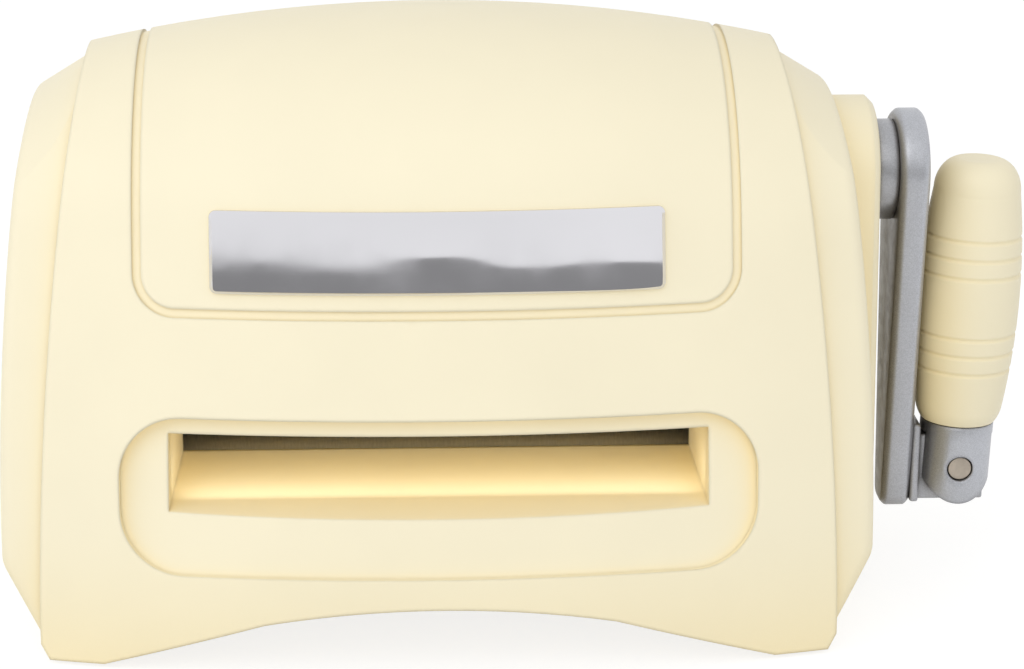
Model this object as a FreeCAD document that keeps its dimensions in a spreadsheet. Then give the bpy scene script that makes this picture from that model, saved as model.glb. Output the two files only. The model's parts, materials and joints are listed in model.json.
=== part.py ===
"""A hand-cranked die cutting machine: two geared rollers in a steel frame under a moulded shell.

The origin is on the bench, in the middle of the machine's own footprint, with the crank left out.
+X runs to the crank side, -Y to the front and +Z up. All lengths are millimetres, angles degrees.
"""
import FreeCAD, Part
import Sketcher
import math
import os
import re

from FreeCAD import Placement, Rotation, Vector

SIZES = {
    # Main shell: a domed cross-section that shrinks towards both sides
    "crest_height": 182.8,
    "crest_radius": 71.0,
    "shell_sag": 14.5,
    "shell_station_margin": 34.0,
    "shell_lean": 17.0,
    "shell_wall": 2.6,
    "shell_top_margin": 19.0,
    "shell_top_drop": 4.8,
    "shell_side_radius": 1376.0,
    "seam_depth": 28.0,
    # Underside: two legs with an arch between them
    "foot_lift": 1.2,
    "foot_inner_margin": 15.2,
    "foot_width": 16.3,
    "leg_knee_level": 6.3,
    "arch_half": 51.4,
    "arch_side_level": 15.6,
    "arch_radius": 262.0,
    "flange_thickness": 3.0,
    "base_half_depth": 61.7,
    "base_gap": 0.3,
    "base_sheet": 3.0,
    "rim_overlap": 8.0,
    "rim_thickness": 2.4,
    # Panel groove over the top, and the nameplate inside it
    "groove_inset": 15.0,
    "groove_bottom_level": 105.0,
    "groove_corner": 12.0,
    "groove_width": 2.6,
    "groove_depth": 0.9,
    "plate_side_gap": 22.5,
    "plate_bottom_level": 112.3,
    "plate_top_level": 135.2,
    "plate_corner": 2.0,
    "plate_thickness": 1.65,
    "plate_bevel": 1.0,
    "plate_seat": 0.05,
    # Feed slot: a shallow recess round a tunnel that narrows towards the rollers
    "recess_border": 14.5,
    "recess_bottom_level": 30.0,
    "recess_top_level": 76.5,
    "recess_corner": 18.5,
    "recess_depth_bottom": 1.6,
    "recess_depth_top": 4.2,
    "slot_side_margin": 5.5,
    "slot_bottom_level": 48.8,
    "slot_top_level": 70.8,
    "slot_mouth_depth": 72.0,
    "tunnel_narrowing": 2.0,
    "tunnel_end_bottom": 54.2,
    "tunnel_end_top": 69.6,
    "tunnel_end_depth": 38.0,
    "tunnel_wall": 2.2,
    # End caps, tucked under the main shell, their tops sloping down outwards
    "cap_inset": 2.9,
    "cap_lip": 6.0,
    "cap_station_margin": 16.0,
    "cap_reach": 14.1,
    "cap_top_reach": 15.1,
    "cap_bend": 94.0,
    "crown_radius": 72.0,
    "crown_slope": 31.4,
    "crown_drop": 14.1,
    "crown_side_level": 70.0,
    "cap_knee_level": 28.0,
    "cap_knee_radius": 10.0,
    "cap_side_radius": 980.0,
    "cap_wall": 2.6,
    "cap_edge_round": 4.8,
    # Gear housing pad on the crank side
    "pad_height": 5.4,
    "pad_depth": 16.0,
    "pad_top_radius": 23.0,
    "pad_flare": 4.9,
    "pad_bottom_half": 32.0,
    "pad_bottom_level": 11.0,
    "pad_corner": 16.0,
    "pad_bevel": 1.9,
    # Side frames and what ties them
    "frame_inner_half": 84.0,
    "frame_sheet": 4.0,
    "frame_foot_level": 14.0,
    "frame_flange": 14.0,
    "frame_bottom_half": 50.0,
    "frame_shoulder_level": 70.0,
    "frame_neck_half": 42.0,
    "frame_neck_level": 118.0,
    "left_frame_top_level": 124.0,
    "crank_bearing_boss": 18.0,
    "boss_flare": 40.0,
    "gear_room": 17.0,
    "gear_plate_sheet": 3.0,
    "rod_radius": 5.0,
    "lower_rod_depth": 36.0,
    "lower_rod_level": 30.0,
    "upper_rod_depth": 34.0,
    "upper_rod_level": 112.0,
    "frame_screw_radius": 2.5,
    "frame_screw_head_radius": 4.6,
    "frame_screw_head": 2.0,
    "frame_screw_reach": 10.0,
    "rod_tapping_depth": 12.0,
    # Rollers
    "lower_axis": 40.0,
    "roller_radius": 14.0,
    "roller_end_play": 0.3,
    "roller_edge": 1.0,
    "nip": 12.5,
    "journal_radius": 6.0,
    "journal_tip": 1.0,
    "running_gap": 0.05,
    "seat_gap": 0.02,
    "bush_wall": 2.0,
    "bush_flange": 1.6,
    "bush_flange_width": 2.2,
    "ring_groove_depth": 0.8,
    "ring_thickness": 1.2,
    "ring_width": 3.2,
    # Gear train
    "sync_teeth": 27,
    "drive_module": 1.5,
    "pinion_teeth": 15,
    "drive_teeth": 51,
    "pressure_angle": 20.0,
    "tooth_play": 0.12,
    "gear_width": 10.3,
    "gear_end_play": 1.5,
    # Crank
    "shaft_radius": 6.0,
    "shaft_overhang": 5.0,
    "shaft_in_arm": 4.2,
    "ring_play": 0.1,
    "shaft_hole_gap": 2.0,
    "shaft_tapping": 12.0,
    "hub_radius": 15.5,
    "hub_gap": 0.4,
    "hub_length": 6.6,
    "arm_thickness": 9.0,
    "arm_head_radius": 18.8,
    "arm_tip_half": 7.5,
    "arm_tip_drop": 14.4,
    "arm_tip_corner": 5.0,
    "arm_edge_bevel": 1.5,
    "arm_screw_radius": 3.0,
    "arm_screw_head_radius": 6.4,
    "arm_screw_head": 3.2,
    "crank_throw": 95.0,
    # Folding handle
    "pin_standoff": 14.8,
    "pin_radius": 3.65,
    "pin_half_length": 10.6,
    "pin_rim_gap": 0.45,
    "pin_rim": 1.0,
    "tongue_half": 4.4,
    "tongue_gap": 0.35,
    "tongue_below": 12.3,
    "tongue_beyond": 8.9,
    "tongue_round": 9.4,
    "block_top": 13.5,
    "block_half": 7.2,
    "block_clearance": 0.6,
    "socket_radius": 11.5,
    "socket_top": 13.65,
    "socket_slot_depth": 10.0,
    "spigot_radius": 7.2,
    "spigot_top": 26.0,
    "spindle_radius": 4.0,
    "spindle_start": 12.0,
    "spindle_top": 88.0,
    "spindle_collar": 1.0,
    "spindle_collar_length": 4.0,
    "grip_gap": 0.35,
    "grip_start": 14.0,
    "grip_end_radius": 12.8,
    "grip_waist_radius": 13.4,
    "grip_waist_level": 88.2,
    "grip_top": 98.1,
    "grip_belly_radius": 240.0,
    "grip_shoulder": 7.5,
    "grip_lower_ring": 31.8,
    "grip_upper_ring": 62.8,
    "grip_ring_pitch": 5.8,
    "grip_ring_depth": 0.55,
    "folded_lean": 2.1,
    # Rubber feet and the screws under the base
    "screw_gap": 0.3,
    "foot_radius": 6.5,
    "foot_inset": 8.5,
    "foot_along": 52.0,
    "base_screw_inset": 7.0,
    "base_screw_along": 38.0,
    "base_boss_radius": 5.0,
    "base_screw_radius": 2.0,
    "base_screw_head_radius": 3.6,
    "base_screw_head": 2.2,
    "base_screw_seat": 10.8,
    "shell_screw_inset": 10.5,
    "shell_screw_along": 66.2,
    "shell_screw_radius": 1.5,
    "shell_screw_head_radius": 2.8,
    "shell_screw_head": 1.5,
    "shell_screw_length": 9.0,
    "rim_boss_radius": 3.2,
    "rim_boss_height": 6.0,
}

# Places that follow from the driving sizes, each by its own margin or gap
PLACES = {
    "shell_top_level": "crest_height - shell_top_drop",
    "crown_level": "crest_height - crown_drop",
    "shell_station": "frame_inner_half + shell_station_margin",
    "shell_top_half": "frame_inner_half + shell_top_margin",
    "foot_inner_half": "frame_inner_half + foot_inner_margin",
    "foot_outer_half": "foot_inner_half + foot_width",
    "groove_half": "shell_top_half - groove_inset",
    "plate_width": "2 * (groove_half - plate_side_gap)",
    "slot_half": "frame_inner_half - slot_side_margin",
    "tunnel_end_half": "slot_half - tunnel_narrowing",
    "recess_half": "slot_half + recess_border",
    "cap_station": "shell_station + cap_station_margin",
    "cap_half": "foot_outer_half + cap_reach",
    "cap_top_half": "shell_top_half + cap_top_reach",
    "pad_face": "cap_half + pad_height",
    "pad_root": "pad_face - pad_depth",
    "frame_outer_half": "frame_inner_half + frame_sheet",
    "gear_plate_place": "frame_outer_half + gear_room",
    "roller_half": "frame_inner_half - bush_flange - roller_end_play",
    "gear_start": "frame_outer_half + gear_end_play",
    "roller_ring_place": "gear_start + gear_width",
    "journal_end": "roller_ring_place + ring_thickness + journal_tip",
    "lower_journal_end": "frame_outer_half + journal_tip",
    "shaft_start": "frame_inner_half - shaft_overhang",
    "shaft_ring_place": "frame_inner_half - bush_flange - ring_thickness - ring_play",
    "arm_start": "pad_face + hub_gap + hub_length",
    "arm_outer": "arm_start + arm_thickness",
    "shaft_end": "arm_start + shaft_in_arm",
    "pin_place": "arm_outer + pin_standoff",
    "foot_across": "foot_outer_half - foot_inset",
    "base_screw_across": "frame_inner_half - base_screw_inset",
    "shell_screw_across": "foot_outer_half - shell_screw_inset",
}
UPPER_AXIS = "(lower_axis + 2 * roller_radius + nip)"
CRANK_AXIS = f"({UPPER_AXIS} + drive_module * (pinion_teeth + drive_teeth) / 2)"
PIN_LEVEL = f"({CRANK_AXIS} - crank_throw)"
BUSH_OUTER = "(journal_radius + running_gap + bush_wall)"
ARM_REACH = "(crank_throw + arm_tip_drop - arm_tip_corner)"
ARM_TAPER = (
    f"(90 deg - atan(arm_tip_half / {ARM_REACH})"
    f" - acos(arm_head_radius / sqrt(arm_tip_half^2 + {ARM_REACH}^2)))"
)
BLOCK_FACE = "(pin_place - socket_radius - block_clearance)"
FOOT_SLOPE = "((cap_half - foot_outer_half) / (cap_knee_level - foot_lift))"
KNEE_ANGLE = f"atan({FOOT_SLOPE})"
KNEE_HALF = f"(foot_outer_half + (leg_knee_level - foot_lift) * {FOOT_SLOPE})"
REACH = "(2 * crest_radius)"
TOP_AXIS = "(crest_height - crest_radius)"
SIDE_RADIUS = f"(({TOP_AXIS} + crest_radius * sin(shell_lean)) / sin(shell_lean))"
SIDE_AXIS = f"(({SIDE_RADIUS} - crest_radius) * cos(shell_lean))"
FOOT_DEPTH = f"({SIDE_RADIUS} - {SIDE_AXIS})"
BOW_RADIUS = "((shell_station^2 + shell_sag^2) / (2 * shell_sag))"

document = FreeCAD.newDocument("die_cutting_machine")
sheet = document.addObject("Spreadsheet::Sheet", "Sizes")


def fill_sheet():
    for row, (name, size) in enumerate(SIZES.items(), start=1):
        sheet.set(f"A{row}", name)
        sheet.set(f"B{row}", str(size))
        sheet.setAlias(f"B{row}", name)
    document.recompute()


def spelled_out(expression):
    """An expression with each named place written out, down to the sheet's own sizes."""
    def from_places(word):
        return f"({spelled_out(PLACES[word[0]])})" if word[0] in PLACES else word[0]
    return re.sub(r"[a-z][a-z_]+", from_places, expression)


def size(expression):
    """The number that an expression of named sizes comes to."""
    return float(sheet.evalExpression(spelled_out(expression)))


def tie(thing, path, expression):
    """Bind a property or a constraint to an expression of the sheet's sizes."""
    def in_sheet(word):
        return f"Sizes.{word[0]}" if word[0] in SIZES else word[0]
    thing.setExpression(path, re.sub(r"[a-z][a-z_]+", in_sheet, spelled_out(expression)))


def new_body(label):
    return document.addObject("PartDesign::Body", label)


def new_sketch(body, plane, level="0", across="0", up="0"):
    """A sketch on a plane of the body's own origin, moved along its normal and in its plane."""
    sketch = body.newObject("Sketcher::SketchObject", f"{body.Name}_{plane.lower()}_sketch")
    support = [one for one in body.Origin.OriginFeatures if one.Role == f"{plane}_Plane"][0]
    sketch.AttachmentSupport = (support, [""])
    sketch.MapMode = "FlatFace"
    for axis, expression in zip("xyz", (across, up, level)):
        if expression != "0":
            tie(sketch, f"AttachmentOffset.Base.{axis}", expression)
    return sketch


def pin_point(sketch, edge, end, across, up):
    """Hold one end of an edge at a place given by two expressions."""
    for kind, axis, expression in (("DistanceX", -2, across), ("DistanceY", -1, up)):
        if expression == "0":
            sketch.addConstraint(Sketcher.Constraint("PointOnObject", edge, end, axis))
        else:
            number = sketch.addConstraint(Sketcher.Constraint(kind, -1, 1, edge, end, size(expression)))
            tie(sketch, f"Constraints[{number}]", expression)


def bend(start, end, radius, turn):
    """The arc of a circle between two points, its centre to the left of the way if turn is 1."""
    chord = end - start
    left = Vector(-chord.y, chord.x, 0).normalize() * turn
    centre = (start + end) / 2 + left * math.sqrt(max(radius**2 - chord.Length**2 / 4, 0))
    first, last = (start, end) if turn > 0 else (end, start)
    angles = [math.atan2(point.y - centre.y, point.x - centre.x) for point in (first, last)]
    if angles[1] < angles[0]:
        angles[1] += 2 * math.pi
    return Part.ArcOfCircle(Part.Circle(centre, Vector(0, 0, 1), radius), *angles)


def draw(sketch, corners):
    """A closed outline. Each corner is its place, and a radius and a turn where an arc leaves it."""
    places = [Vector(size(corner[0]), size(corner[1]), 0) for corner in corners]
    first = sketch.GeometryCount
    ends = []
    for index, corner in enumerate(corners):
        start, end = places[index], places[(index + 1) % len(corners)]
        if len(corner) > 2:
            sketch.addGeometry(bend(start, end, size(corner[2]), corner[3]))
            ends.append((1, 2) if corner[3] > 0 else (2, 1))
        else:
            sketch.addGeometry(Part.LineSegment(start, end))
            ends.append((1, 2))
    for index, corner in enumerate(corners):
        following = (index + 1) % len(corners)
        joint = (first + index, ends[index][1], first + following, ends[following][0])
        sketch.addConstraint(Sketcher.Constraint("Coincident", *joint))
        pin_point(sketch, first + index, ends[index][0], corner[0], corner[1])
        if len(corner) > 2:
            number = sketch.addConstraint(Sketcher.Constraint("Radius", first + index, size(corner[2])))
            tie(sketch, f"Constraints[{number}]", corner[2])


def draw_circle(sketch, across, up, radius):
    centre = Vector(size(across), size(up), 0)
    edge = sketch.addGeometry(Part.Circle(centre, Vector(0, 0, 1), size(radius)))
    pin_point(sketch, edge, 3, across, up)
    number = sketch.addConstraint(Sketcher.Constraint("Radius", edge, size(radius)))
    tie(sketch, f"Constraints[{number}]", radius)


def both_sides(half):
    """Close an outline by its mirror image, from corners that run up its right half."""
    mirrored = []
    for corner, edge in zip(reversed(half), [one[2:] for one in reversed(half[:-1])] + [()]):
        mirrored.append((f"-({corner[0]})", corner[1], *edge))
    full = list(half) + mirrored
    if half[-1][0] == "0":
        full.pop(len(half))
        full[len(half) - 1] = (*half[-1][:2], *half[-2][2:])
    if half[0][0] == "0":
        full.pop()
    return full


def turned_box(left, right, bottom, top, corner):
    """A rectangle with rounded corners, as an outline."""
    return [
        (f"{left} + {corner}", bottom), (f"{right} - {corner}", bottom, corner, 1),
        (right, f"{bottom} + {corner}"), (right, f"{top} - {corner}", corner, 1),
        (f"{right} - {corner}", top), (f"{left} + {corner}", top, corner, 1),
        (left, f"{top} - {corner}"), (left, f"{bottom} + {corner}", corner, 1),
    ]


def box(left, right, bottom, top):
    return [(left, bottom), (right, bottom), (right, top), (left, top)]


def pad(body, sketch, length):
    feature = body.newObject("PartDesign::Pad", f"{sketch.Name}_pad")
    feature.Profile = sketch
    tie(feature, "Length", length)
    body.Tip = feature
    return feature


def revolve(body, sketch, axis, cut=False):
    """Turn a sketch all the way round one of its axes. A cut must take something away."""
    document.recompute()
    before = body.Shape.Volume if cut else 0
    kind = "PartDesign::Groove" if cut else "PartDesign::Revolution"
    feature = body.newObject(kind, f"{sketch.Name}_turn")
    feature.Profile = sketch
    feature.ReferenceAxis = (sketch, [axis])
    feature.Angle = 360
    body.Tip = feature
    document.recompute()
    assert not cut or body.Shape.Volume < before, f"{feature.Name} cuts nothing"


def prism(label, plane, start, length, corners, holes=()):
    """A plate: an outline with round holes, padded along its plane's normal."""
    body = new_body(label)
    sketch = new_sketch(body, plane, start)
    draw(sketch, corners)
    for hole in holes:
        draw_circle(sketch, *hole)
    pad(body, sketch, length)
    return body


def turning(label, corners, up="0", back="0"):
    """A turned piece on an axis along X, from the outline of its upper half."""
    body = new_body(label)
    sketch = new_sketch(body, "XZ", back, up=up)
    draw(sketch, corners)
    revolve(body, sketch, "H_Axis")
    return body


def upright(label, corners):
    """A turned piece on its body's own Z axis."""
    body = new_body(label)
    sketch = new_sketch(body, "XZ")
    draw(sketch, corners)
    revolve(body, sketch, "V_Axis")
    return body


def boolean(kind, label, shapes):
    result = document.addObject(f"Part::{kind}", label)
    if kind == "Cut":
        result.Base, result.Tool = shapes
    else:
        setattr(result, "Links" if kind == "Compound" else "Shapes", shapes)
    return result


def cut(label, base, tool):
    return boolean("Cut", label, (base, tool))


def common(label, *shapes):
    return boolean("MultiCommon", label, list(shapes))


def fuse(label, *shapes):
    return boolean("MultiFuse", label, list(shapes))


def group(label, *shapes):
    return boolean("Compound", label, list(shapes))


def mirror(source, x=0, y=0, label=""):
    """The mirror image of a piece in the plane X = 0 or Y = 0."""
    image = document.addObject("Part::Mirroring", label or f"{source.Name}_image")
    image.Source = source
    image.Normal = Vector(x, y, 0)
    return image


def slab(label, start, end, axis="y"):
    """A block that reaches past the whole shell, but for its two ends along one axis."""
    block = document.addObject("Part::Box", label)
    for side, letter in (("Length", "x"), ("Width", "y"), ("Height", "z")):
        tie(block, side, f"({end}) - ({start})" if letter == axis else f"4 * {REACH}")
        tie(block, f"Placement.Base.{letter}", start if letter == axis else f"-2 * {REACH}")
    return block


def dress_edges(kind, label, base, amount, picked):
    """Round or bevel the edges of a shape for which a test on the edge holds."""
    document.recompute()
    dressed = document.addObject(kind, label)
    dressed.Base = base
    length = size(amount)
    edges = [number for number, edge in enumerate(base.Shape.Edges, start=1) if picked(edge)]
    dressed.Edges = [(number, length, length) for number in edges]
    return dressed


def round_edges(label, base, radius, picked):
    return dress_edges("Part::Fillet", label, base, radius, picked)


def bevel_edges(label, base, width, picked):
    return dress_edges("Part::Chamfer", label, base, width, picked)


def bar(label, axis, radius, start, length, first="0", second="0"):
    """A round bar along an axis from a start on it, at its places on the other two axes."""
    piece = document.addObject("Part::Cylinder", label)
    tie(piece, "Radius", radius)
    tie(piece, "Height", length)
    turns = {"x": (Vector(0, 1, 0), 90), "y": (Vector(1, 0, 0), -90), "z": (Vector(0, 0, 1), 0)}
    piece.Placement = Placement(Vector(), Rotation(*turns[axis]))
    others = [letter for letter in "xyz" if letter != axis]
    for letter, place in zip([axis] + others, (start, first, second)):
        tie(piece, f"Placement.Base.{letter}", place)
    return piece


def four(label, make, across, along):
    """The same piece at the four corners of a rectangle, grouped."""
    corners = [(x, y) for x in ("-1", "1") for y in ("-1", "1")]
    return group(label, *[make(f"{x} * {across}", f"{y} * {along}") for x, y in corners])


def middle(edge):
    return edge.valueAt((edge.FirstParameter + edge.LastParameter) / 2)


def bowed_edge(station, middle_height, breaks):
    """The edge of a form from right to left: one arc, or straight between breaks of that arc."""
    if not breaks:
        end_height = f"{middle_height} - ({BOW_RADIUS} - sqrt({BOW_RADIUS}^2 - {station}^2))"
        return [(station, end_height, BOW_RADIUS, 1), (f"-{station}", end_height)]
    right = [station, *breaks]
    places = right + [f"-({place})" for place in reversed(right) if place != "0"]
    return [(x, f"{middle_height} - {BOW_RADIUS} + sqrt({BOW_RADIUS}^2 - ({x})^2)") for x in places]


def form(label, station, inset, breaks=()):
    """A solid whose cross-section is a round top on two sides that lean in to meet it.

    All three are turned about axes along X, so they stay tangent while they bow in towards both ends.
    Each side passes the middle by a wall's thickness, and so stays inside the other.
    """
    body = new_body(label)
    top = new_sketch(body, "XZ", up=TOP_AXIS)
    crest = bowed_edge(station, f"crest_radius - ({inset})", breaks)
    draw(top, [(f"-{station}", "0"), (station, "0"), *crest])
    turn_part(body, top, "180 - 2 * shell_lean", symmetric=True)
    back = f"({SIDE_AXIS} - shell_wall)"
    edge = bowed_edge(station, f"{SIDE_RADIUS} - ({inset})", breaks)
    rear = new_sketch(body, "XY", up=f"-{SIDE_AXIS}")
    draw(rear, [(f"-{station}", back), (station, back), *edge])
    turn_part(body, rear, "shell_lean")
    front = new_sketch(body, "XY", up=SIDE_AXIS)
    flipped = [(f"-({corner[0]})", f"-({corner[1]})", *corner[2:]) for corner in edge]
    draw(front, [(station, f"-{back}"), (f"-{station}", f"-{back}"), *flipped])
    turn_part(body, front, "shell_lean", reverse=True)
    return body


def turn_part(body, sketch, angle, symmetric=False, reverse=False, axis="H_Axis"):
    """Turn a sketch part of the way round one of its axes."""
    feature = body.newObject("PartDesign::Revolution", f"{sketch.Name}_turn")
    feature.Profile = sketch
    feature.ReferenceAxis = (sketch, [axis])
    feature.Midplane = symmetric
    feature.Reversed = reverse
    tie(feature, "Angle", angle)
    body.Tip = feature


def hull(label, inset):
    """The main shell's solid form, brought in by a thickness all round."""
    return form(label, "shell_station", inset)


def leg_outline(lift):
    """The underside from the middle of the arch to the outer edge of the foot, raised by a thickness."""
    arch_top = "arch_side_level + arch_radius - sqrt(arch_radius^2 - arch_half^2)"
    return [
        ("0", f"{arch_top} + {lift}", "arch_radius", -1), ("arch_half", f"arch_side_level + {lift}"),
        ("foot_inner_half", f"foot_lift + {lift}"),
    ]


def shell_outline():
    """The main shell seen from the front: arched underside, chamfered feet, sides that close in."""
    half = leg_outline("0") + [
        ("foot_outer_half", "foot_lift"), (KNEE_HALF, "leg_knee_level", "shell_side_radius", 1),
        ("shell_top_half", "shell_top_level"), ("shell_top_half", f"{REACH} + crest_radius"),
    ]
    return both_sides(half)


def cavity_outline():
    """The hollow of the main shell seen from the front, open at both sides."""
    half = leg_outline("flange_thickness") + [
        ("shell_station", "foot_lift + flange_thickness"), ("shell_station", f"{REACH} + crest_radius"),
    ]
    return both_sides(half)


def recess_floor(label="recess_floor", inset="0"):
    """A block whose front and back are the sloping floors of the two recesses, brought in by a thickness."""
    body = new_body(label)
    centre = f"({BOW_RADIUS} - {FOOT_DEPTH})"
    lower, upper = [
        f"({centre} + sqrt({SIDE_RADIUS}^2 - {level}^2) - {SIDE_AXIS} - {depth} - ({inset}))"
        for level, depth in [
            ("recess_bottom_level", "recess_depth_bottom"), ("recess_top_level", "recess_depth_top")]
    ]
    slope = f"(({upper} - {lower}) / (recess_top_level - recess_bottom_level))"
    reach = "(2 * shell_wall)"
    bottom, top = f"(recess_bottom_level - {reach})", f"(recess_top_level + {reach})"
    floor = [(f"{lower} - {reach} * {slope}", bottom), (f"{upper} + {reach} * {slope}", top)]
    back = f"({BOW_RADIUS} - {REACH})"
    front = new_sketch(body, "YZ", across=centre)
    draw(front, [(f"-{back}", bottom), (f"-{back}", top)] + [(f"-({y})", z) for y, z in reversed(floor)])
    turn_part(body, front, "90", symmetric=True, axis="V_Axis")
    rear = new_sketch(body, "YZ", across=f"-{centre}")
    draw(rear, [(back, bottom), *floor, (back, top)])
    turn_part(body, rear, "90", symmetric=True, axis="V_Axis")
    return body


def tunnel(label, wall, end):
    """The feed tunnel of the front slot, widened by a wall, from outside the shell to its inner end."""
    body = new_body(label)
    run = f"(({REACH} - tunnel_end_depth) / (slot_mouth_depth - tunnel_end_depth))"
    mouth = [
        f"(tunnel_end_half + (slot_half - tunnel_end_half) * {run} + {wall})",
        f"(tunnel_end_bottom + (slot_bottom_level - tunnel_end_bottom) * {run} - {wall})",
        f"(tunnel_end_top + (slot_top_level - tunnel_end_top) * {run} + {wall})",
    ]
    inner = [f"(tunnel_end_half + {wall})", f"(tunnel_end_bottom - {wall})", f"(tunnel_end_top + {wall})"]
    outer_sketch = new_sketch(body, "XZ", REACH)
    draw(outer_sketch, box(f"-{mouth[0]}", mouth[0], mouth[1], mouth[2]))
    inner_sketch = new_sketch(body, "XZ", end)
    draw(inner_sketch, box(f"-{inner[0]}", inner[0], inner[1], inner[2]))
    loft = body.newObject("PartDesign::AdditiveLoft", f"{label}_loft")
    loft.Profile = outer_sketch
    loft.Sections = [inner_sketch]
    loft.Ruled = True
    body.Tip = loft
    return body


def grooves():
    """The moulded line that frames the top panel, as deep as the groove all over the form."""
    corner = "groove_corner"
    outer = turned_box("-groove_half", "groove_half", "groove_bottom_level", f"{REACH} + {REACH}", corner)
    inner = turned_box(
        "-(groove_half - groove_width)", "groove_half - groove_width",
        "groove_bottom_level + groove_width", f"{REACH} + {REACH} - groove_width",
        "(groove_corner - groove_width)",
    )
    line = cut(
        "groove_line",
        prism("groove_outside", "XZ", f"-{REACH}", f"2 * {REACH}", outer),
        prism("groove_inside", "XZ", f"-{REACH}", f"2 * {REACH}", inner),
    )
    return cut("groove_cutter", line, hull("groove_floor", "groove_depth"))


def recesses():
    """The shallow recesses round the front and the back slot."""
    outline = turned_box(
        "-recess_half", "recess_half", "recess_bottom_level", "recess_top_level", "recess_corner")
    band = prism("recess_band", "XZ", f"-{REACH}", f"2 * {REACH}", outline)
    return cut("recess_cutter", band, recess_floor())


def main_shell():
    """Both halves of the main shell in one: hollow, recessed, grooved, with a tunnel at each slot."""
    band = prism("shell_band", "XZ", f"-{REACH}", f"2 * {REACH}", shell_outline())
    solid = common("shell_solid", hull("shell_form", "0"), band)
    hollow_band = prism("cavity_band", "XZ", f"-{REACH}", f"2 * {REACH}", cavity_outline())
    inside = form("cavity_form", "shell_station", "shell_wall", ("cap_bend", "cap_bend / 2", "0"))
    cavity = common("shell_cavity", inside, hollow_band)
    floor_gap = "(base_half_depth + base_gap)"
    hatch = prism("hatch", "XZ", f"-{floor_gap}", f"2 * {floor_gap}", box(
        "-shell_station", "shell_station", "0", "arch_side_level + arch_half"))
    # The recess is deeper than the wall, so its floor is backed by a thickness of its own
    backing = common("recess_backing", solid, recess_backing())
    walls = fuse("shell_walls", cut("shell_skin", solid, fuse("shell_hollow", cavity, hatch)), backing)
    front_duct = common("front_duct", tunnel("duct_form", "tunnel_wall", "tunnel_end_depth"), solid)
    ducted = fuse("ducted_shell", walls, front_duct, mirror(front_duct, y=1))
    way = tunnel("feed_way", "0", "tunnel_end_depth - tunnel_wall")
    cutters = [recesses(), grooves(), way, mirror(way, y=1)]
    return cut("shell_body", ducted, fuse("shell_cutters", *cutters))


def recess_backing():
    """The layer behind each recess floor, as thick as the wall."""
    margin = "shell_wall"
    outline = turned_box(
        f"-(recess_half + {margin})", f"recess_half + {margin}", f"recess_bottom_level - {margin}",
        f"recess_top_level + {margin}", f"(recess_corner + {margin})")
    band = prism("backing_band", "XZ", f"-{REACH}", f"2 * {REACH}", outline)
    return cut("backing_layer", band, recess_floor("backing_core", "shell_wall"))


def cap_outline():
    """The crank side's end cap seen from the front. Its inner edge follows the shell's side."""
    side = f"({KNEE_HALF} - cap_lip)"
    reach = f"(cap_knee_radius * tan({KNEE_ANGLE} / 2))"
    return [
        (side, "leg_knee_level"), (KNEE_HALF, "leg_knee_level"),
        (f"cap_half - {reach} * sin({KNEE_ANGLE})", f"cap_knee_level - {reach} * cos({KNEE_ANGLE})",
         "cap_knee_radius", 1),
        ("cap_half", f"cap_knee_level + {reach}", "cap_side_radius", 1),
        ("cap_top_half", "shell_top_level"),
        ("shell_top_half - cap_lip", "shell_top_level", "shell_side_radius", -1),
    ]


def cap_hollow_outline():
    """The hollow of the end cap seen from the front, open towards the main shell."""
    side = f"({KNEE_HALF} - 2 * cap_lip)"
    bottom = "(leg_knee_level + cap_wall)"
    slope = f"{KNEE_HALF} + cap_wall * {FOOT_SLOPE} - cap_wall / cos({KNEE_ANGLE})"
    return [
        (side, bottom), (slope, bottom),
        ("cap_half - cap_wall", f"cap_knee_level + cap_wall * tan({KNEE_ANGLE} / 2)",
         "cap_side_radius - cap_wall", 1),
        ("cap_top_half - cap_wall", "shell_top_level"), ("shell_top_half - 2 * cap_lip", "shell_top_level"),
    ]


def cap_form(label, inset):
    """The main shell's form carried on under its edge and out to the ends of the caps."""
    return form(label, "cap_station", inset, ("cap_bend",))


def crown_bar(label, inset):
    """The round top of an end cap, a bar that slopes down outwards."""
    level = "crown_level - crown_radius / cos(crown_slope) + shell_top_half * tan(crown_slope)"
    top = bar(label, "x", f"crown_radius - {inset}", "0", f"2 * {REACH}", "0", level)
    tie(top, "Placement.Rotation.Angle", "90 + crown_slope")
    return top


def below_crown(label):
    """Everything lower than the level at which the end cap's top starts to close in."""
    return prism(label, "XZ", f"-{REACH}", f"2 * {REACH}", box("0", "cap_station", "0", "crown_side_level"))


def round_outer_edge(label, base):
    """Round the edge of a cap's form round its outer face, above the knee."""
    document.recompute()
    radii = (size("cap_side_radius"), size("cap_knee_radius"))

    def is_outer(face):
        surface = face.Surface
        return isinstance(surface, Part.Cylinder) and any(abs(surface.Radius - one) < 0.01 for one in radii)

    def on_outer_edge(edge):
        faces = base.Shape.ancestorsOfType(edge, Part.Face)
        bounds_face = len([face for face in faces if is_outer(face)]) == 1
        curved = not any(isinstance(face.Surface, Part.Plane) for face in faces)
        return bounds_face and curved and middle(edge).z > size("cap_knee_level")

    return round_edges(label, base, "cap_edge_round", on_outer_edge)


def plain_cap():
    """The solid form of the end cap on the crank side."""
    band = prism("cap_band", "XZ", f"-{REACH}", f"2 * {REACH}", cap_outline())
    crown = fuse("crown_over", crown_bar("cap_crown", "0"), below_crown("cap_below_crown"))
    return round_outer_edge("cap_solid", common("cap_edged", cap_form("cap_form", "cap_inset"), band, crown))


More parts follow.
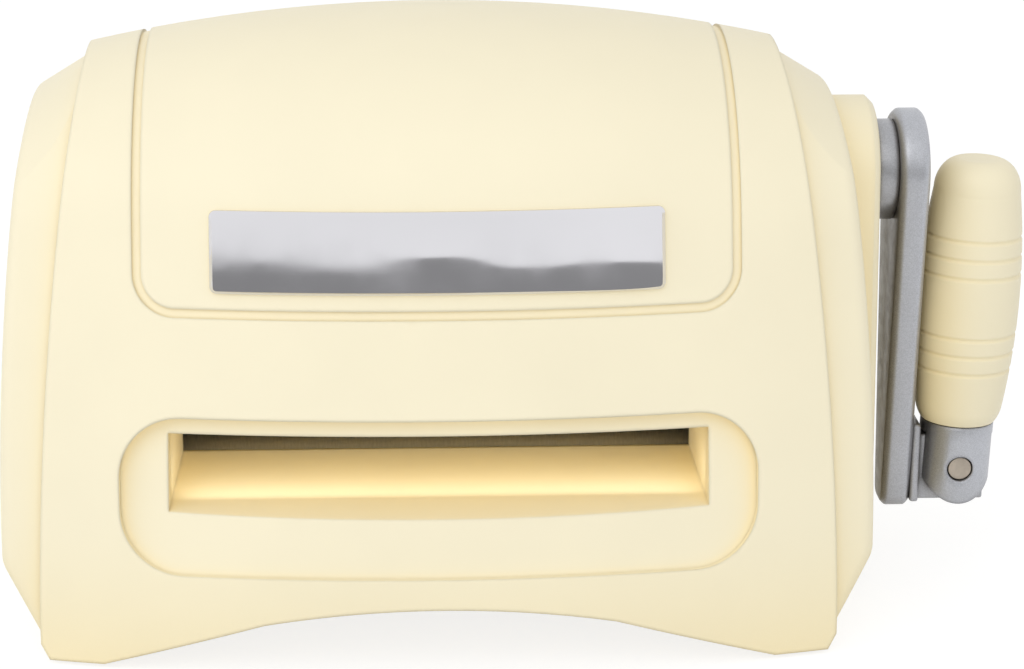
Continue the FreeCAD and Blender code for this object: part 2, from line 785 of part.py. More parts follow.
def cap_hollow():
    band = prism("hollow_band", "XZ", f"-{REACH}", f"2 * {REACH}", cap_hollow_outline())
    inside = cap_form("hollow_form", "cap_inset + cap_wall")
    crown = fuse("hollow_crown", crown_bar("hollow_crown_bar", "cap_wall"), below_crown("hollow_below_crown"))
    return common("cap_hollow", inside, band, crown)


def pad_outline(inset):
    """The gear housing seen from the crank side: round about the crank, wider at its foot."""
    radius = f"(pad_top_radius - {inset})"
    corner = f"(pad_corner - {inset})"
    half = f"(pad_bottom_half - {inset})"
    bottom = f"(pad_bottom_level + {inset})"
    return both_sides([
        (f"{half} - {corner}", bottom, corner, 1), (half, f"{bottom} + {corner}"),
        (f"{radius} * cos(pad_flare)", f"{CRANK_AXIS} + {radius} * sin(pad_flare)", radius, 1),
        ("0", f"{CRANK_AXIS} + {radius}"),
    ])


def end_caps():
    """Both end caps. The one on the crank side carries the gear housing, with a hole for the crank."""
    solid = plain_cap()
    hollow = cap_hollow()
    mirror(cut("left_cap_form", solid, hollow), x=1, label="left_end_cap")
    block = prism("pad_form", "YZ", "pad_root", "pad_face - pad_root", pad_outline("0"))
    face = size("pad_face")
    block = bevel_edges("pad_bevelled", block, "pad_bevel", lambda edge: abs(middle(edge).x - face) < 0.01)
    inside = prism("pad_hollow", "YZ", "pad_root", "pad_face - cap_wall - pad_root", pad_outline("cap_wall"))
    opening = bar(
        "crank_opening", "x", "shaft_radius + shaft_hole_gap", "pad_root", "cap_half", "0", CRANK_AXIS)
    cut("right_end_cap", fuse("padded_cap", solid, block), fuse("cap_space", hollow, inside, opening))


def upright_screws(label, kind, start, seat, end, gap):
    """Four screws driven upwards from below, or with a gap the holes for them."""
    def one(x, y):
        shank = bar(f"{label}_shank", "z", f"{kind}_radius + {gap}", start, f"{end} - {start}", x, y)
        head = bar(f"{label}_head", "z", f"{kind}_head_radius + {gap}", start, f"{seat} - {start}", x, y)
        return fuse(f"{label}_one", shank, head)
    return four(label, one, f"{kind}_across", f"{kind}_along")


def shell_screws(label, start, gap):
    """The screws that draw the shell's flange and the base cover's rim together."""
    return upright_screws(
        label, "shell_screw", start, "(foot_lift + shell_screw_head)",
        "(foot_lift + shell_screw_length)", gap)


def base_screws(label, start, gap):
    """The screws that hold the base cover under the side plates' flanges."""
    return upright_screws(
        label, "base_screw", start, "base_screw_seat", "(frame_foot_level + frame_sheet)", gap)


def shell_halves():
    """The main shell, parted behind its ridge."""
    body = cut("drilled_shell", main_shell(), shell_screws("flange_holes", "0", "screw_gap"))
    common("front_shell", body, slab("front_part", f"-{REACH}", "seam_depth"))
    common("rear_shell", body, slab("rear_part", "seam_depth", REACH))


def nameplate():
    """The bright plate on the front, bowed like the shell, its outer edge bevelled."""
    outline = turned_box(
        "-plate_width / 2", "plate_width / 2", "plate_bottom_level", "plate_top_level", "plate_corner")
    band = prism("plate_band", "XZ", "0", REACH, outline)
    face = hull("plate_face", "-plate_thickness")
    blank = cut("plate_blank", common("plate_form", band, face), hull("plate_back", "-plate_seat"))
    document.recompute()
    skin = face.Shape.Shells[0]

    def on_rim(edge):
        sides = blank.Shape.ancestorsOfType(edge, Part.Face)
        turned = [side for side in sides if isinstance(side.Surface, Part.SurfaceOfRevolution)]
        return len(turned) == 1 and skin.distToShape(Part.Vertex(middle(edge)))[0] < 0.01

    bevel_edges("nameplate", blank, "plate_bevel", on_rim)


def base_outline():
    """The base cover seen from the front: the arch, both feet and a turned-up edge under each cap."""
    sheet_top = "(foot_lift + base_sheet)"
    arch_top = "arch_side_level + arch_radius - sqrt(arch_radius^2 - arch_half^2)"
    return both_sides(leg_outline("0") + [
        ("foot_outer_half", "foot_lift"), (KNEE_HALF, "leg_knee_level - base_gap"),
        (f"{KNEE_HALF} - base_sheet", "leg_knee_level - base_gap"),
        ("foot_outer_half - base_sheet", sheet_top),
        ("foot_inner_half", sheet_top), ("arch_half", "arch_side_level + base_sheet", "arch_radius", 1),
        ("0", f"{arch_top} + base_sheet"),
    ])


def rim_outline():
    """The rim seen from the front: a layer on top of the shell's bottom flange."""
    lower, upper = leg_outline("flange_thickness"), leg_outline("(flange_thickness + rim_thickness)")
    end = f"({KNEE_HALF} - cap_lip - base_gap)"
    return both_sides(lower + [
        (end, "foot_lift + flange_thickness"), (end, "foot_lift + flange_thickness + rim_thickness"),
        upper[2], (*upper[1], "arch_radius", 1), upper[0][:2],
    ])


def base_cover():
    """The arched bottom between both halves of the shell, with a rim on their flanges and bosses."""
    plate = prism("base_plate", "XZ", "-base_half_depth", "2 * base_half_depth", base_outline())
    edge = "(base_half_depth + rim_overlap)"
    layer = prism("rim_layer", "XZ", f"-{edge}", f"2 * {edge}", rim_outline())
    inside = "(base_half_depth - base_sheet)"
    rim = cut("rim_frame", layer, slab("rim_middle", f"-{inside}", inside))
    top = "(foot_lift + flange_thickness + rim_thickness + rim_boss_height)"
    bottom = "(foot_lift + flange_thickness)"

    def rim_boss(x, y):
        return bar("rim_boss", "z", "rim_boss_radius", bottom, f"{top} - {bottom}", x, y)

    def seat(x, y):
        return bar("frame_seat", "z", "base_boss_radius", bottom, f"frame_foot_level - {bottom}", x, y)

    posts = four("seat_posts", seat, "base_screw_across", "base_screw_along")
    bosses = four("rim_bosses", rim_boss, "shell_screw_across", "shell_screw_along")
    body = fuse("base_body", plate, rim, bosses, common("frame_seats", posts, above_arch()))

    cut("base_cover", body, group(
        "base_holes", shell_screws("rim_holes", "0", "seat_gap"),
        base_screws("seat_holes", "0", "screw_gap")))


def above_arch():
    """Everything above the underside of the machine."""
    half = leg_outline("0") + [("cap_station", "foot_lift"), ("cap_station", REACH)]
    return prism("above_arch", "XZ", f"-{REACH}", f"2 * {REACH}", both_sides(half))


def rubber_feet():
    """Four round pads stuck under the base."""
    def foot(x, y):
        return bar("rubber_foot", "z", "foot_radius", "0", "foot_lift", x, y)
    four("rubber_feet", foot, "foot_across", "foot_along")


ROD_PLACES = [
    (f"{side}{level}_rod_depth", f"{level}_rod_level") for level in ("lower", "upper") for side in ("", "-")
]


def rod_holes():
    return [(y, z, "frame_screw_radius + screw_gap") for y, z in ROD_PLACES]


def bush_hole(axis):
    return ("0", axis, f"{BUSH_OUTER} + seat_gap")


def bossed_outline():
    """A side plate that rises to a round boss at the crank's bearing."""
    boss = "crank_bearing_boss"
    return both_sides([
        ("frame_bottom_half", "frame_foot_level"), ("frame_bottom_half", "frame_shoulder_level"),
        ("frame_neck_half", "frame_neck_level"),
        (f"{boss} * cos(boss_flare)", f"{CRANK_AXIS} + {boss} * sin(boss_flare)", boss, 1),
        ("0", f"{CRANK_AXIS} + {boss}"),
    ])


def low_outline():
    """A side plate with a straight top and slanted corners."""
    return both_sides([
        ("frame_bottom_half", "frame_foot_level"), ("frame_bottom_half", "frame_shoulder_level"),
        ("frame_neck_half", "frame_neck_level"),
        ("frame_neck_half + frame_neck_level - left_frame_top_level", "left_frame_top_level"),
    ])


def flanged_plate(label, outline, holes):
    """A side plate on the crank side, with a foot flange turned in over the base cover."""
    plate = prism(f"{label}_plate", "YZ", "frame_inner_half", "frame_sheet", outline, rod_holes() + holes)
    flange = prism(f"{label}_flange", "XZ", "-frame_bottom_half", "2 * frame_bottom_half", box(
        "frame_inner_half - frame_flange", "frame_outer_half",
        "frame_foot_level", "frame_foot_level + frame_sheet"))
    folded = fuse(f"{label}_folded", plate, flange)
    return folded, base_screws(f"{label}_tapping", "0", "seat_gap")


def side_frames():
    """Both side plates and the outer plate that carries the crank's second bearing."""
    rollers = [bush_hole("lower_axis"), bush_hole(UPPER_AXIS)]
    right, tapping = flanged_plate("right", bossed_outline(), rollers + [bush_hole(CRANK_AXIS)])
    cut("right_side_plate", right, tapping)
    left, tapping = flanged_plate("left", low_outline(), rollers)
    mirror(cut("left_plate_form", left, tapping), x=1, label="left_side_plate")
    prism("gear_plate", "YZ", "gear_plate_place", "gear_plate_sheet", bossed_outline(),
          rod_holes() + [bush_hole(CRANK_AXIS)])


def hexagon(label, start, length, radius, y, z):
    """A six-sided bar whose corners lie on a circle about an axis along X."""
    angles = [60 * corner for corner in range(6)]
    places = [(f"{y} + {radius} * cos({angle})", f"{z} + {radius} * sin({angle})") for angle in angles]
    return prism(label, "YZ", start, length, places)


def ties():
    """Four six-sided rods between the side plates, spacers beyond them and screws at both ends."""
    rods, tubes, screws = [], [], []
    outside = "(gear_plate_place + gear_plate_sheet)"
    for y, z in ROD_PLACES:
        rod = hexagon("rod_form", "-frame_inner_half", "2 * frame_inner_half", "rod_radius", y, z)
        tapping = bar("rod_tapping", "x", "frame_screw_radius + seat_gap", "-frame_inner_half",
                      "2 * frame_inner_half", y, z)
        solid_middle = hexagon("rod_middle", "-(frame_inner_half - rod_tapping_depth)",
                               "2 * (frame_inner_half - rod_tapping_depth)", "rod_radius", y, z)
        rods.append(fuse("tie_rod", cut("drilled_rod", rod, tapping), solid_middle))
        tube = hexagon(
            "tube_form", "frame_outer_half", "gear_plate_place - frame_outer_half", "rod_radius", y, z)
        bore = bar("tube_bore", "x", "frame_screw_radius + screw_gap", "frame_outer_half",
                   "gear_plate_place - frame_outer_half", y, z)
        tubes.append(cut("spacer", tube, bore))
        inner_end = "(frame_inner_half - frame_screw_reach)"
        for side, face in (("", outside), ("-", "frame_outer_half")):
            start = face if side == "" else "(-(frame_outer_half) - frame_screw_head)"
            head = hexagon("frame_screw_cap", start, "frame_screw_head", "frame_screw_head_radius", y, z)
            shank_start = inner_end if side == "" else "-(frame_outer_half)"
            shank = bar(
                "frame_screw_shank", "x", "frame_screw_radius", shank_start, f"{face} - {inner_end}", y, z)
            screws.append(fuse("frame_screw", head, shank))
    group("tie_rods", *rods)
    group("gear_plate_spacers", *tubes)
    group("frame_screws", *screws)


def bush(label, axis, plate, sheet_thickness):
    """A flanged bearing bush in a plate, its flange on the side of the rollers."""
    inner = "journal_radius + running_gap"
    brim = f"{BUSH_OUTER} + bush_flange_width"
    return turning(label, [
        (f"{plate} - bush_flange", inner), (f"{plate} + {sheet_thickness}", inner),
        (f"{plate} + {sheet_thickness}", BUSH_OUTER), (plate, BUSH_OUTER), (plate, brim),
        (f"{plate} - bush_flange", brim),
    ], up=axis)


def bushes():
    right = [bush(f"{name}_bush", axis, "frame_inner_half", "frame_sheet")
             for name, axis in (("lower", "lower_axis"), ("upper", UPPER_AXIS))]
    group("roller_bushings", *right, *[mirror(one, x=1) for one in right])
    group("crank_bushings", bush("inner_crank_bush", CRANK_AXIS, "frame_inner_half", "frame_sheet"),
          bush("outer_crank_bush", CRANK_AXIS, "gear_plate_place", "gear_plate_sheet"))


def ringed_journal():
    """The right end of a roller from its tip to its face, with the groove for its ring."""
    groove = "journal_radius - ring_groove_depth"
    ring_end = "roller_ring_place + ring_thickness"
    return [
        ("journal_end", "0"), ("journal_end", "journal_radius"), (ring_end, "journal_radius"),
        (ring_end, groove), ("roller_ring_place", groove), ("roller_ring_place", "journal_radius"),
    ]


def roller_face():
    return [
        ("roller_half", "journal_radius"), ("roller_half", "roller_radius - roller_edge"),
        ("roller_half - roller_edge", "roller_radius"),
    ]


def leftwards(half):
    """The mirror image of a half outline, run the other way."""
    return [(f"-({x})", y) for x, y in reversed(half)]


def rollers():
    """Both rollers in one piece with their journals. The lower one is driven on the left only."""
    ringed = ringed_journal() + roller_face()
    turning("upper_roller", ringed + leftwards(ringed), up=UPPER_AXIS)
    short = [("lower_journal_end", "0"), ("lower_journal_end", "journal_radius")] + roller_face()
    turning("lower_roller", short + leftwards(ringed), up="lower_axis")
    upper_ring = ring("upper_ring", "roller_ring_place", UPPER_AXIS)
    group("upper_roller_rings", upper_ring, mirror(upper_ring, x=1))
    mirror(ring("lower_ring", "roller_ring_place", "lower_axis"), x=1, label="lower_roller_rings")


def ring(label, place, axis):
    """A retaining ring in the groove of a shaft."""
    inner = "journal_radius - ring_groove_depth + seat_gap"
    return turning(label, box(place, f"{place} + ring_thickness", inner, f"{inner} + ring_width"), up=axis)


def tooth_flank(teeth):
    """Radius and half angle of a tooth at some points of its involute flank, from root to tip."""
    module = size("drive_module")
    pitch = module * teeth / 2
    base = pitch * math.cos(math.radians(size("pressure_angle")))
    root, tip = pitch - 1.25 * module, pitch + module
    half_at_pitch = (math.pi * module / 2 - size("tooth_play")) / (2 * pitch)

    def involute(radius):
        slope = math.acos(min(base / radius, 1))
        return math.tan(slope) - slope

    start = max(base, root)
    radii = [start + (tip - start) * step / 2 for step in range(3)]
    flank = [(radius, half_at_pitch + involute(pitch) - involute(radius)) for radius in radii]
    return [(root, flank[0][1])] * (root < base) + flank


def gear(label, teeth_name, axis, tooth_up):
    """A spur gear on the crank side. One tooth or one gap points upwards."""
    teeth = int(size(teeth_name))
    flank = tooth_flank(teeth)
    points = []
    for index in range(teeth):
        centre = 2 * math.pi * (index + (0 if tooth_up else 0.5)) / teeth
        turned = [(radius, centre - half) for radius, half in flank]
        turned += [(radius, centre + half) for radius, half in reversed(flank)]
        points += [Vector(0, radius * math.sin(angle), radius * math.cos(angle)) for radius, angle in turned]
    blank = document.addObject("Part::Feature", f"{label}_teeth")
    face = Part.Face(Part.makePolygon(points + points[:1]))
    blank.Shape = face.extrude(Vector(size("gear_width"), 0, 0))
    tie(blank, "Placement.Base.x", "gear_start")
    tie(blank, "Placement.Base.z", axis)
    bore = bar(f"{label}_bore", "x", "journal_radius + seat_gap", "0", f"2 * roller_ring_place", "0", axis)
    return cut(label, blank, bore)


def gears():
    """The sync gears on the left and the drive on the crank side, each mesh a tooth in a gap."""
    mirror(gear("upper_sync_form", "sync_teeth", UPPER_AXIS, tooth_up=True), x=1, label="upper_sync_gear")
    mirror(gear("lower_sync_form", "sync_teeth", "lower_axis", tooth_up=True), x=1, label="lower_sync_gear")
    gear("drive_gear", "drive_teeth", UPPER_AXIS, tooth_up=False)
    gear("crank_pinion", "pinion_teeth", CRANK_AXIS, tooth_up=False)


def crank():
    """The crank's shaft with its ring, the hub outside the housing and the tapering arm."""
    groove = "journal_radius - ring_groove_depth"
    ring_end = "shaft_ring_place + ring_thickness"
    tapped = "shaft_end - shaft_tapping"
    turning("crank_shaft", [
        ("shaft_start", "0"), (tapped, "0"), (tapped, "arm_screw_radius + seat_gap"),
        ("shaft_end", "arm_screw_radius + seat_gap"), ("shaft_end", "shaft_radius"),
        (ring_end, "shaft_radius"), (ring_end, groove), ("shaft_ring_place", groove),
        ("shaft_ring_place", "shaft_radius"),
        ("shaft_start", "shaft_radius"),
    ], up=CRANK_AXIS)
    ring("crank_shaft_ring", "shaft_ring_place", CRANK_AXIS)
    turning("crank_hub", box("pad_face + hub_gap", "arm_start", "shaft_radius + seat_gap", "hub_radius"),
            up=CRANK_AXIS)
    turning("crank_screw", [
        (f"{tapped} + screw_gap", "0"), ("arm_outer", "0"), ("arm_outer", "arm_screw_head_radius"),
        ("arm_outer - arm_screw_head", "arm_screw_head_radius"),
        ("arm_outer - arm_screw_head", "arm_screw_radius"), (f"{tapped} + screw_gap", "arm_screw_radius"),
    ], up=CRANK_AXIS)
    crank_arm()


def crank_arm():
    """The arm: round at the crank, tapering to its tip, its edges bevelled on both faces."""
    tip = f"({PIN_LEVEL} - arm_tip_drop)"
    mid_plane = "(arm_start + arm_thickness / 2)"
    half = prism("arm_half", "YZ", mid_plane, "arm_thickness / 2", both_sides([
        ("arm_tip_half - arm_tip_corner", tip, "arm_tip_corner", 1),
        ("arm_tip_half", f"{tip} + arm_tip_corner"),
        (f"arm_head_radius * cos({ARM_TAPER})", f"{CRANK_AXIS} - arm_head_radius * sin({ARM_TAPER})",
         "arm_head_radius", 1),
        ("0", f"{CRANK_AXIS} + arm_head_radius"),
    ]))

    face = size("arm_outer")
    outer = bevel_edges(
        "arm_outer_half", half, "arm_edge_bevel", lambda edge: abs(middle(edge).x - face) < 0.01)
    inner = mirror(outer, x=1)
    tie(inner, "Base.x", mid_plane)
    rounded = fuse("arm_bevelled", outer, inner)
    bore = bar(
        "arm_bore", "x", "shaft_radius + seat_gap", "arm_start", "shaft_end - arm_start", "0", CRANK_AXIS)
    way = bar(
        "arm_screw_way", "x", "arm_screw_radius + seat_gap", "arm_start", "arm_thickness", "0", CRANK_AXIS)
    sink = bar("arm_sink", "x", "arm_screw_head_radius + seat_gap", "arm_outer - arm_screw_head",
               "arm_screw_head", "0", CRANK_AXIS)
    cut("crank_arm", rounded, fuse("arm_holes", bore, way, sink))


def fold_out(piece):
    """Stand a piece made about its own Z axis on the hinge pin, leaning a little outwards."""
    piece.Placement = Placement(Vector(), Rotation(Vector(0, 1, 0), size("folded_lean")))
    tie(piece, "Placement.Base.x", "pin_place")
    tie(piece, "Placement.Base.z", PIN_LEVEL)
    tie(piece, "Placement.Rotation.Angle", "folded_lean")


def hinge():
    """The block on the arm with its tongue, the forked socket that folds on it and their pin."""
    bottom = f"{PIN_LEVEL} - tongue_below"
    shoulder = prism("hinge_shoulder", "XZ", "-block_half", "2 * block_half", box(
        "arm_outer", BLOCK_FACE, bottom, f"{PIN_LEVEL} + block_top"))
    tongue = prism("hinge_tongue", "XZ", "-tongue_half", "2 * tongue_half", [
        ("arm_outer", bottom), ("pin_place + tongue_beyond", bottom),
        ("pin_place + tongue_beyond", f"{PIN_LEVEL} + sqrt(tongue_round^2 - tongue_beyond^2)",
         "tongue_round", 1),
        ("pin_place", f"{PIN_LEVEL} + tongue_round"), ("arm_outer", f"{PIN_LEVEL} + tongue_round"),
    ])
    eye = bar(
        "tongue_eye", "y", "pin_radius + seat_gap", "-block_half", "2 * block_half", "pin_place", PIN_LEVEL)
    cut("hinge_block", fuse("hinge_body", shoulder, tongue), eye)
    bar("hinge_pin", "y", "pin_radius", "-pin_half_length", "2 * pin_half_length", "pin_place", PIN_LEVEL)
    socket()


def socket():
    """The forked socket: round, its lower end rounded about the pin, with a spigot for the grip."""
    turned = upright("socket_round", [
        ("0", "-socket_radius"), ("socket_radius", "-socket_radius"), ("socket_radius", "socket_top"),
        ("spigot_radius", "socket_top"), ("spigot_radius", "spigot_top"), ("0", "spigot_top"),
    ])
    upper = prism("socket_upper", "XZ", "-socket_radius", "2 * socket_radius", box(
        "-socket_radius", "socket_radius", "0", "spigot_top"))
    lower = bar("socket_lower", "y", "socket_radius", "-socket_radius", "2 * socket_radius")
    half_slot = "(tongue_half + tongue_gap)"
    slot = prism("socket_slot", "XZ", f"-{half_slot}", f"2 * {half_slot}", box(
        "-2 * socket_radius", "2 * socket_radius", "-2 * socket_radius", "socket_slot_depth"))
    eye = bar("socket_eye", "y", "pin_radius + running_gap", "-socket_radius", "2 * socket_radius")
    rims = [
        bar("socket_rim", "y", "pin_radius + pin_rim_gap", start, "socket_radius")
        for start in ("pin_half_length - pin_rim", "pin_rim - pin_half_length - socket_radius")
    ]
    bore = bar("socket_bore", "z", "spindle_radius + seat_gap", "spindle_start", "spigot_top - spindle_start")
    form_piece = common("socket_form", turned, fuse("socket_side", upper, lower))
    fold_out(cut("handle_socket", form_piece, fuse("socket_cuts", slot, eye, *rims, bore)))


def grip_surface(level):
    """The grip's radius at a level, on the arc that bellies out between its two ends."""
    run = "(grip_waist_level - grip_start)"
    share = f"(({level} - grip_start) / {run})"
    belly = f"{share} * (1 - {share}) * {run}^2 / (2 * grip_belly_radius)"
    return f"(grip_end_radius + (grip_waist_radius - grip_end_radius) * {share} + {belly})"


def ring_band(lowest):
    """Both ends of the straight band that carries three rings."""
    surface = grip_surface(f"({lowest} + grip_ring_pitch)")
    return [(surface, lowest), (surface, f"({lowest} + 2 * grip_ring_pitch)")]


def grip():
    """The turned grip with its ringed grooves, free to turn on the spindle that holds it."""
    wide = "(spindle_radius + spindle_collar)"
    collar = "(spindle_top - spindle_collar_length)"
    fold_out(upright("grip_spindle", [
        ("0", "spindle_start"), ("spindle_radius", "spindle_start"), ("spindle_radius", collar),
        (wide, collar), (wide, "spindle_top"), ("0", "spindle_top"),
    ]))
    sleeve = "spigot_radius + grip_gap"
    crest = "((grip_lower_ring + grip_upper_ring) / 2 + grip_ring_pitch)"
    shoulder = [
        (f"grip_waist_radius - grip_shoulder * (1 - cos({angle}))",
         f"grip_waist_level + (grip_top - grip_waist_level) * sin({angle})") for angle in (0, 30, 60, 90)
    ]
    body = upright("handle_grip", [
        (sleeve, "grip_start"), ("grip_end_radius", "grip_start"),
        *ring_band("grip_lower_ring"), (grip_surface(crest), crest), *ring_band("grip_upper_ring"), *shoulder,
        ("0", "grip_top"), ("0", "spindle_top + grip_gap"), (f"{wide} + grip_gap", "spindle_top + grip_gap"),
        (f"{wide} + grip_gap", f"{collar} - grip_gap"),
        ("spindle_radius + running_gap", f"{collar} - grip_gap"),
        ("spindle_radius + running_gap", "spigot_top + grip_gap"), (sleeve, "spigot_top + grip_gap"),
    ])
    rings = new_sketch(body, "XZ")
    for lowest in ("grip_lower_ring", "grip_upper_ring"):
        surface = grip_surface(f"({lowest} + grip_ring_pitch)")
        for number in range(3):
            level = f"({lowest} + {number} * grip_ring_pitch)"
            bottom = f"{surface} - grip_ring_depth"
            top = f"{surface} + grip_ring_depth"
            draw(rings, [
                (bottom, level), (top, f"{level} - 2 * grip_ring_depth"),
                (top, f"{level} + 2 * grip_ring_depth"),
            ])
    revolve(body, rings, "V_Axis", cut=True)
    fold_out(body)


NODES = [
    "front_shell", "rear_shell", "left_end_cap", "right_end_cap", "nameplate", "base_cover", "rubber_feet",
    "left_side_plate", "right_side_plate", "gear_plate", "tie_rods", "gear_plate_spacers", "frame_screws",
    "roller_bushings", "crank_bushings", "upper_roller", "lower_roller", "upper_roller_rings",
    "lower_roller_rings", "upper_sync_gear", "lower_sync_gear", "drive_gear", "crank_pinion", "crank_shaft",
    "crank_shaft_ring", "crank_hub", "crank_arm", "crank_screw", "hinge_block", "hinge_pin", "handle_socket",
    "grip_spindle", "handle_grip", "base_screws", "shell_screws",
]


def export():
    """Check every object, then write each node's own file."""
    document.recompute()
    for thing in document.Objects:
        assert not {"Invalid", "Error"} & set(thing.State), f"{thing.Name} did not build"
        if hasattr(thing, "Shape") and not thing.isDerivedFrom("App::Datums"):
            assert not thing.Shape.isNull() and thing.Shape.isValid(), f"{thing.Name} has no valid shape"
    os.makedirs("parts", exist_ok=True)
    for name in NODES:
        document.getObject(name).Shape.exportStep(f"parts/{name}.step")


fill_sheet()
shell_halves()
end_caps()
nameplate()
base_cover()
rubber_feet()
side_frames()
ties()
bushes()
rollers()
gears()
crank()
hinge()
grip()
base_screws("base_screws", "(base_screw_seat - base_screw_head)", "0")
shell_screws("shell_screws", "foot_lift", "0")
export()
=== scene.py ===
"""Finishes, fine shapes and stage for the hand-cranked die cutting machine.

All places are metres in the machine's own frame: the origin on the bench in the middle of its
footprint, +X towards the crank, -Y towards the user and +Z up.
"""
import json
import math

import bmesh
import bpy
from bpy.props import FloatProperty, FloatVectorProperty, IntProperty, PointerProperty
from mathutils import Matrix, Vector


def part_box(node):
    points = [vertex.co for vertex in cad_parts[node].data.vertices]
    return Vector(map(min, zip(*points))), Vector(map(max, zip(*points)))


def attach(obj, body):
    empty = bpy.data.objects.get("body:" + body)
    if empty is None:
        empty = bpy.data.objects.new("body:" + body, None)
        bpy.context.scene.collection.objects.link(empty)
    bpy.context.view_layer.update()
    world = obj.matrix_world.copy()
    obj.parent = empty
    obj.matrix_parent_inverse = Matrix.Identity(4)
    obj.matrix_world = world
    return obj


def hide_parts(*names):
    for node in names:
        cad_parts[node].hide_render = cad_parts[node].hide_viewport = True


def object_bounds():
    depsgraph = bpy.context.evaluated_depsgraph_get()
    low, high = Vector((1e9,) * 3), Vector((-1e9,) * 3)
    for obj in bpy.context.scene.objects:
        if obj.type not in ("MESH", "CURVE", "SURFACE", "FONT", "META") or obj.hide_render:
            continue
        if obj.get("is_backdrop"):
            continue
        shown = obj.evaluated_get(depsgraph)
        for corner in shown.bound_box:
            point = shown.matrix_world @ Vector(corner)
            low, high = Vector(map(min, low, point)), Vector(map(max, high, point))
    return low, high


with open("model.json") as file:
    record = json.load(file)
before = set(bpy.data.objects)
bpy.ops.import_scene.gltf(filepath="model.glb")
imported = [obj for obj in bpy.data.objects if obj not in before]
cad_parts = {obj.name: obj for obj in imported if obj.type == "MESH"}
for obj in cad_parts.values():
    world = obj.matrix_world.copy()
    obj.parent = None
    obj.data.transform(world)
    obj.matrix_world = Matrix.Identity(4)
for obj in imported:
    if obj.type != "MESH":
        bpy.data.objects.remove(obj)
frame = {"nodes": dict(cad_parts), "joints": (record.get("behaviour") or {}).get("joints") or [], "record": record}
cad_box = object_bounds()

bl_info = {
    "name": "Manual die cutting machine",
    "version": (1, 0, 0),
    "blender": (4, 5, 0),
    "location": "View3D > Sidebar > Die cutting machine",
    "description": (
        "Finishes, turned grip, cast crank, screws and stage of a hand-cranked "
        "die cutting machine"),
    "category": "Add Mesh",
}

MILLIMETRE = 0.001

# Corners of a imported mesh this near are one, and its faces are merged up to this slant
WELD, FLAT = 2e-6, math.radians(0.5)
# Slants from which an edge is rounded off, and from which a smooth surface keeps it sharp
ROUNDED_FROM, SHARP_FROM = math.radians(32), math.radians(35)
# Most of a pattern's values lie between these
PATTERN_LOW, PATTERN_HIGH = 0.3, 0.7
# Rays for each point of the painted close shade and of the softened edges
SHADING_RAYS = 6

# The grip's sections are shared out between its side and its rounded top
SIDE_SHARE, CROWN_SHARE = 0.9, 0.1
RINGS_IN_A_SET = 3
BORE_FACETS, BORE_RUN_IN = 48, 4 * MILLIMETRE
HEAD_FACETS, SHANK_FACETS = 40, 24
# The driver's recess: its width by the head's, and its cutter's length by the head's height
RECESS_WIDTH, RECESS_LENGTH = 0.5, 1.1

# The stage, in metres
LAMP_WIDTH, LAMPS_FACE = 1.2, (0, 0, 0.09)
KEY_PLACE, FILL_PLACE, LOW_PLACE = (-0.35, -1.1, 1.3), (-1.3, -0.5, 0.7), (0.15, -1.5, 0.22)
SLOT_LAMP_PLACE, SLOT_LAMP_WIDTH, SLOT_LAMP_HEIGHT = (0, -0.069, 0.057), 0.15, 0.010
CARD_HALF, CARD_DEPTH = 2.0, 1.6
FLOOR_SEGMENTS = 96
# How much light the floor throws back, unseen and seen
PAPER, SEEN_PAPER = 0.80, 0.30
SENSOR_WIDTH, NEAREST, FARTHEST = 36.0, 0.01, 50.0


# Sizes and colours

def colour(label, note, default):
    return FloatVectorProperty(
        name=label, description=note, subtype="COLOR", size=3, min=0, max=1, default=default)


def length(label, note, millimetres):
    return FloatProperty(
        name=label, description=note, subtype="DISTANCE", unit="LENGTH", min=0,
        default=millimetres * MILLIMETRE)


def angle(label, note, degrees):
    return FloatProperty(
        name=label, description=note, subtype="ANGLE", unit="ROTATION",
        default=math.radians(degrees))


def reach(label, note, metres):
    return FloatProperty(name=label, description=note, unit="LENGTH", default=metres)


def power(label, note, watts):
    return FloatProperty(name=label, description=note, unit="POWER", default=watts)


def level(label, note, default):
    return FloatProperty(name=label, description=note, default=default)


class MachineColours(bpy.types.PropertyGroup):
    """The colours of the machine's finishes."""
    shell: colour(
        "Shell cream", "Moulded plastic of the shell, the end caps and the base",
        (0.956, 0.880, 0.658))
    grip: colour("Grip cream", "Moulded plastic of the turning grip", (0.950, 0.870, 0.640))
    silver: colour(
        "Silver paint", "Paint on the cast crank and the handle's socket", (0.485, 0.497, 0.533))
    plate: colour("Bright plate", "Mirror plate on the front", (0.760, 0.755, 0.785))
    sheet: colour("Zinc sheet", "Coated sheet steel of the frame", (0.240, 0.250, 0.260))
    steel: colour("Turned steel", "Rods, shafts and screws", (0.500, 0.500, 0.510))
    roller: colour("Roller steel", "Satin ground face of the rollers", (0.560, 0.530, 0.440))
    gear: colour("Gear steel", "Cut steel of the gears", (0.330, 0.330, 0.340))
    # The hinge pin's ends are given a darker, warmer steel colour than the other turned steel
    pin: colour("Pin steel", "Darker end of the hinge pin", (0.450, 0.395, 0.330))
    bronze: colour("Bush bronze", "Sintered bronze of the bearings", (0.500, 0.280, 0.090))
    rubber: colour("Rubber", "Pads under the base", (0.020, 0.020, 0.020))


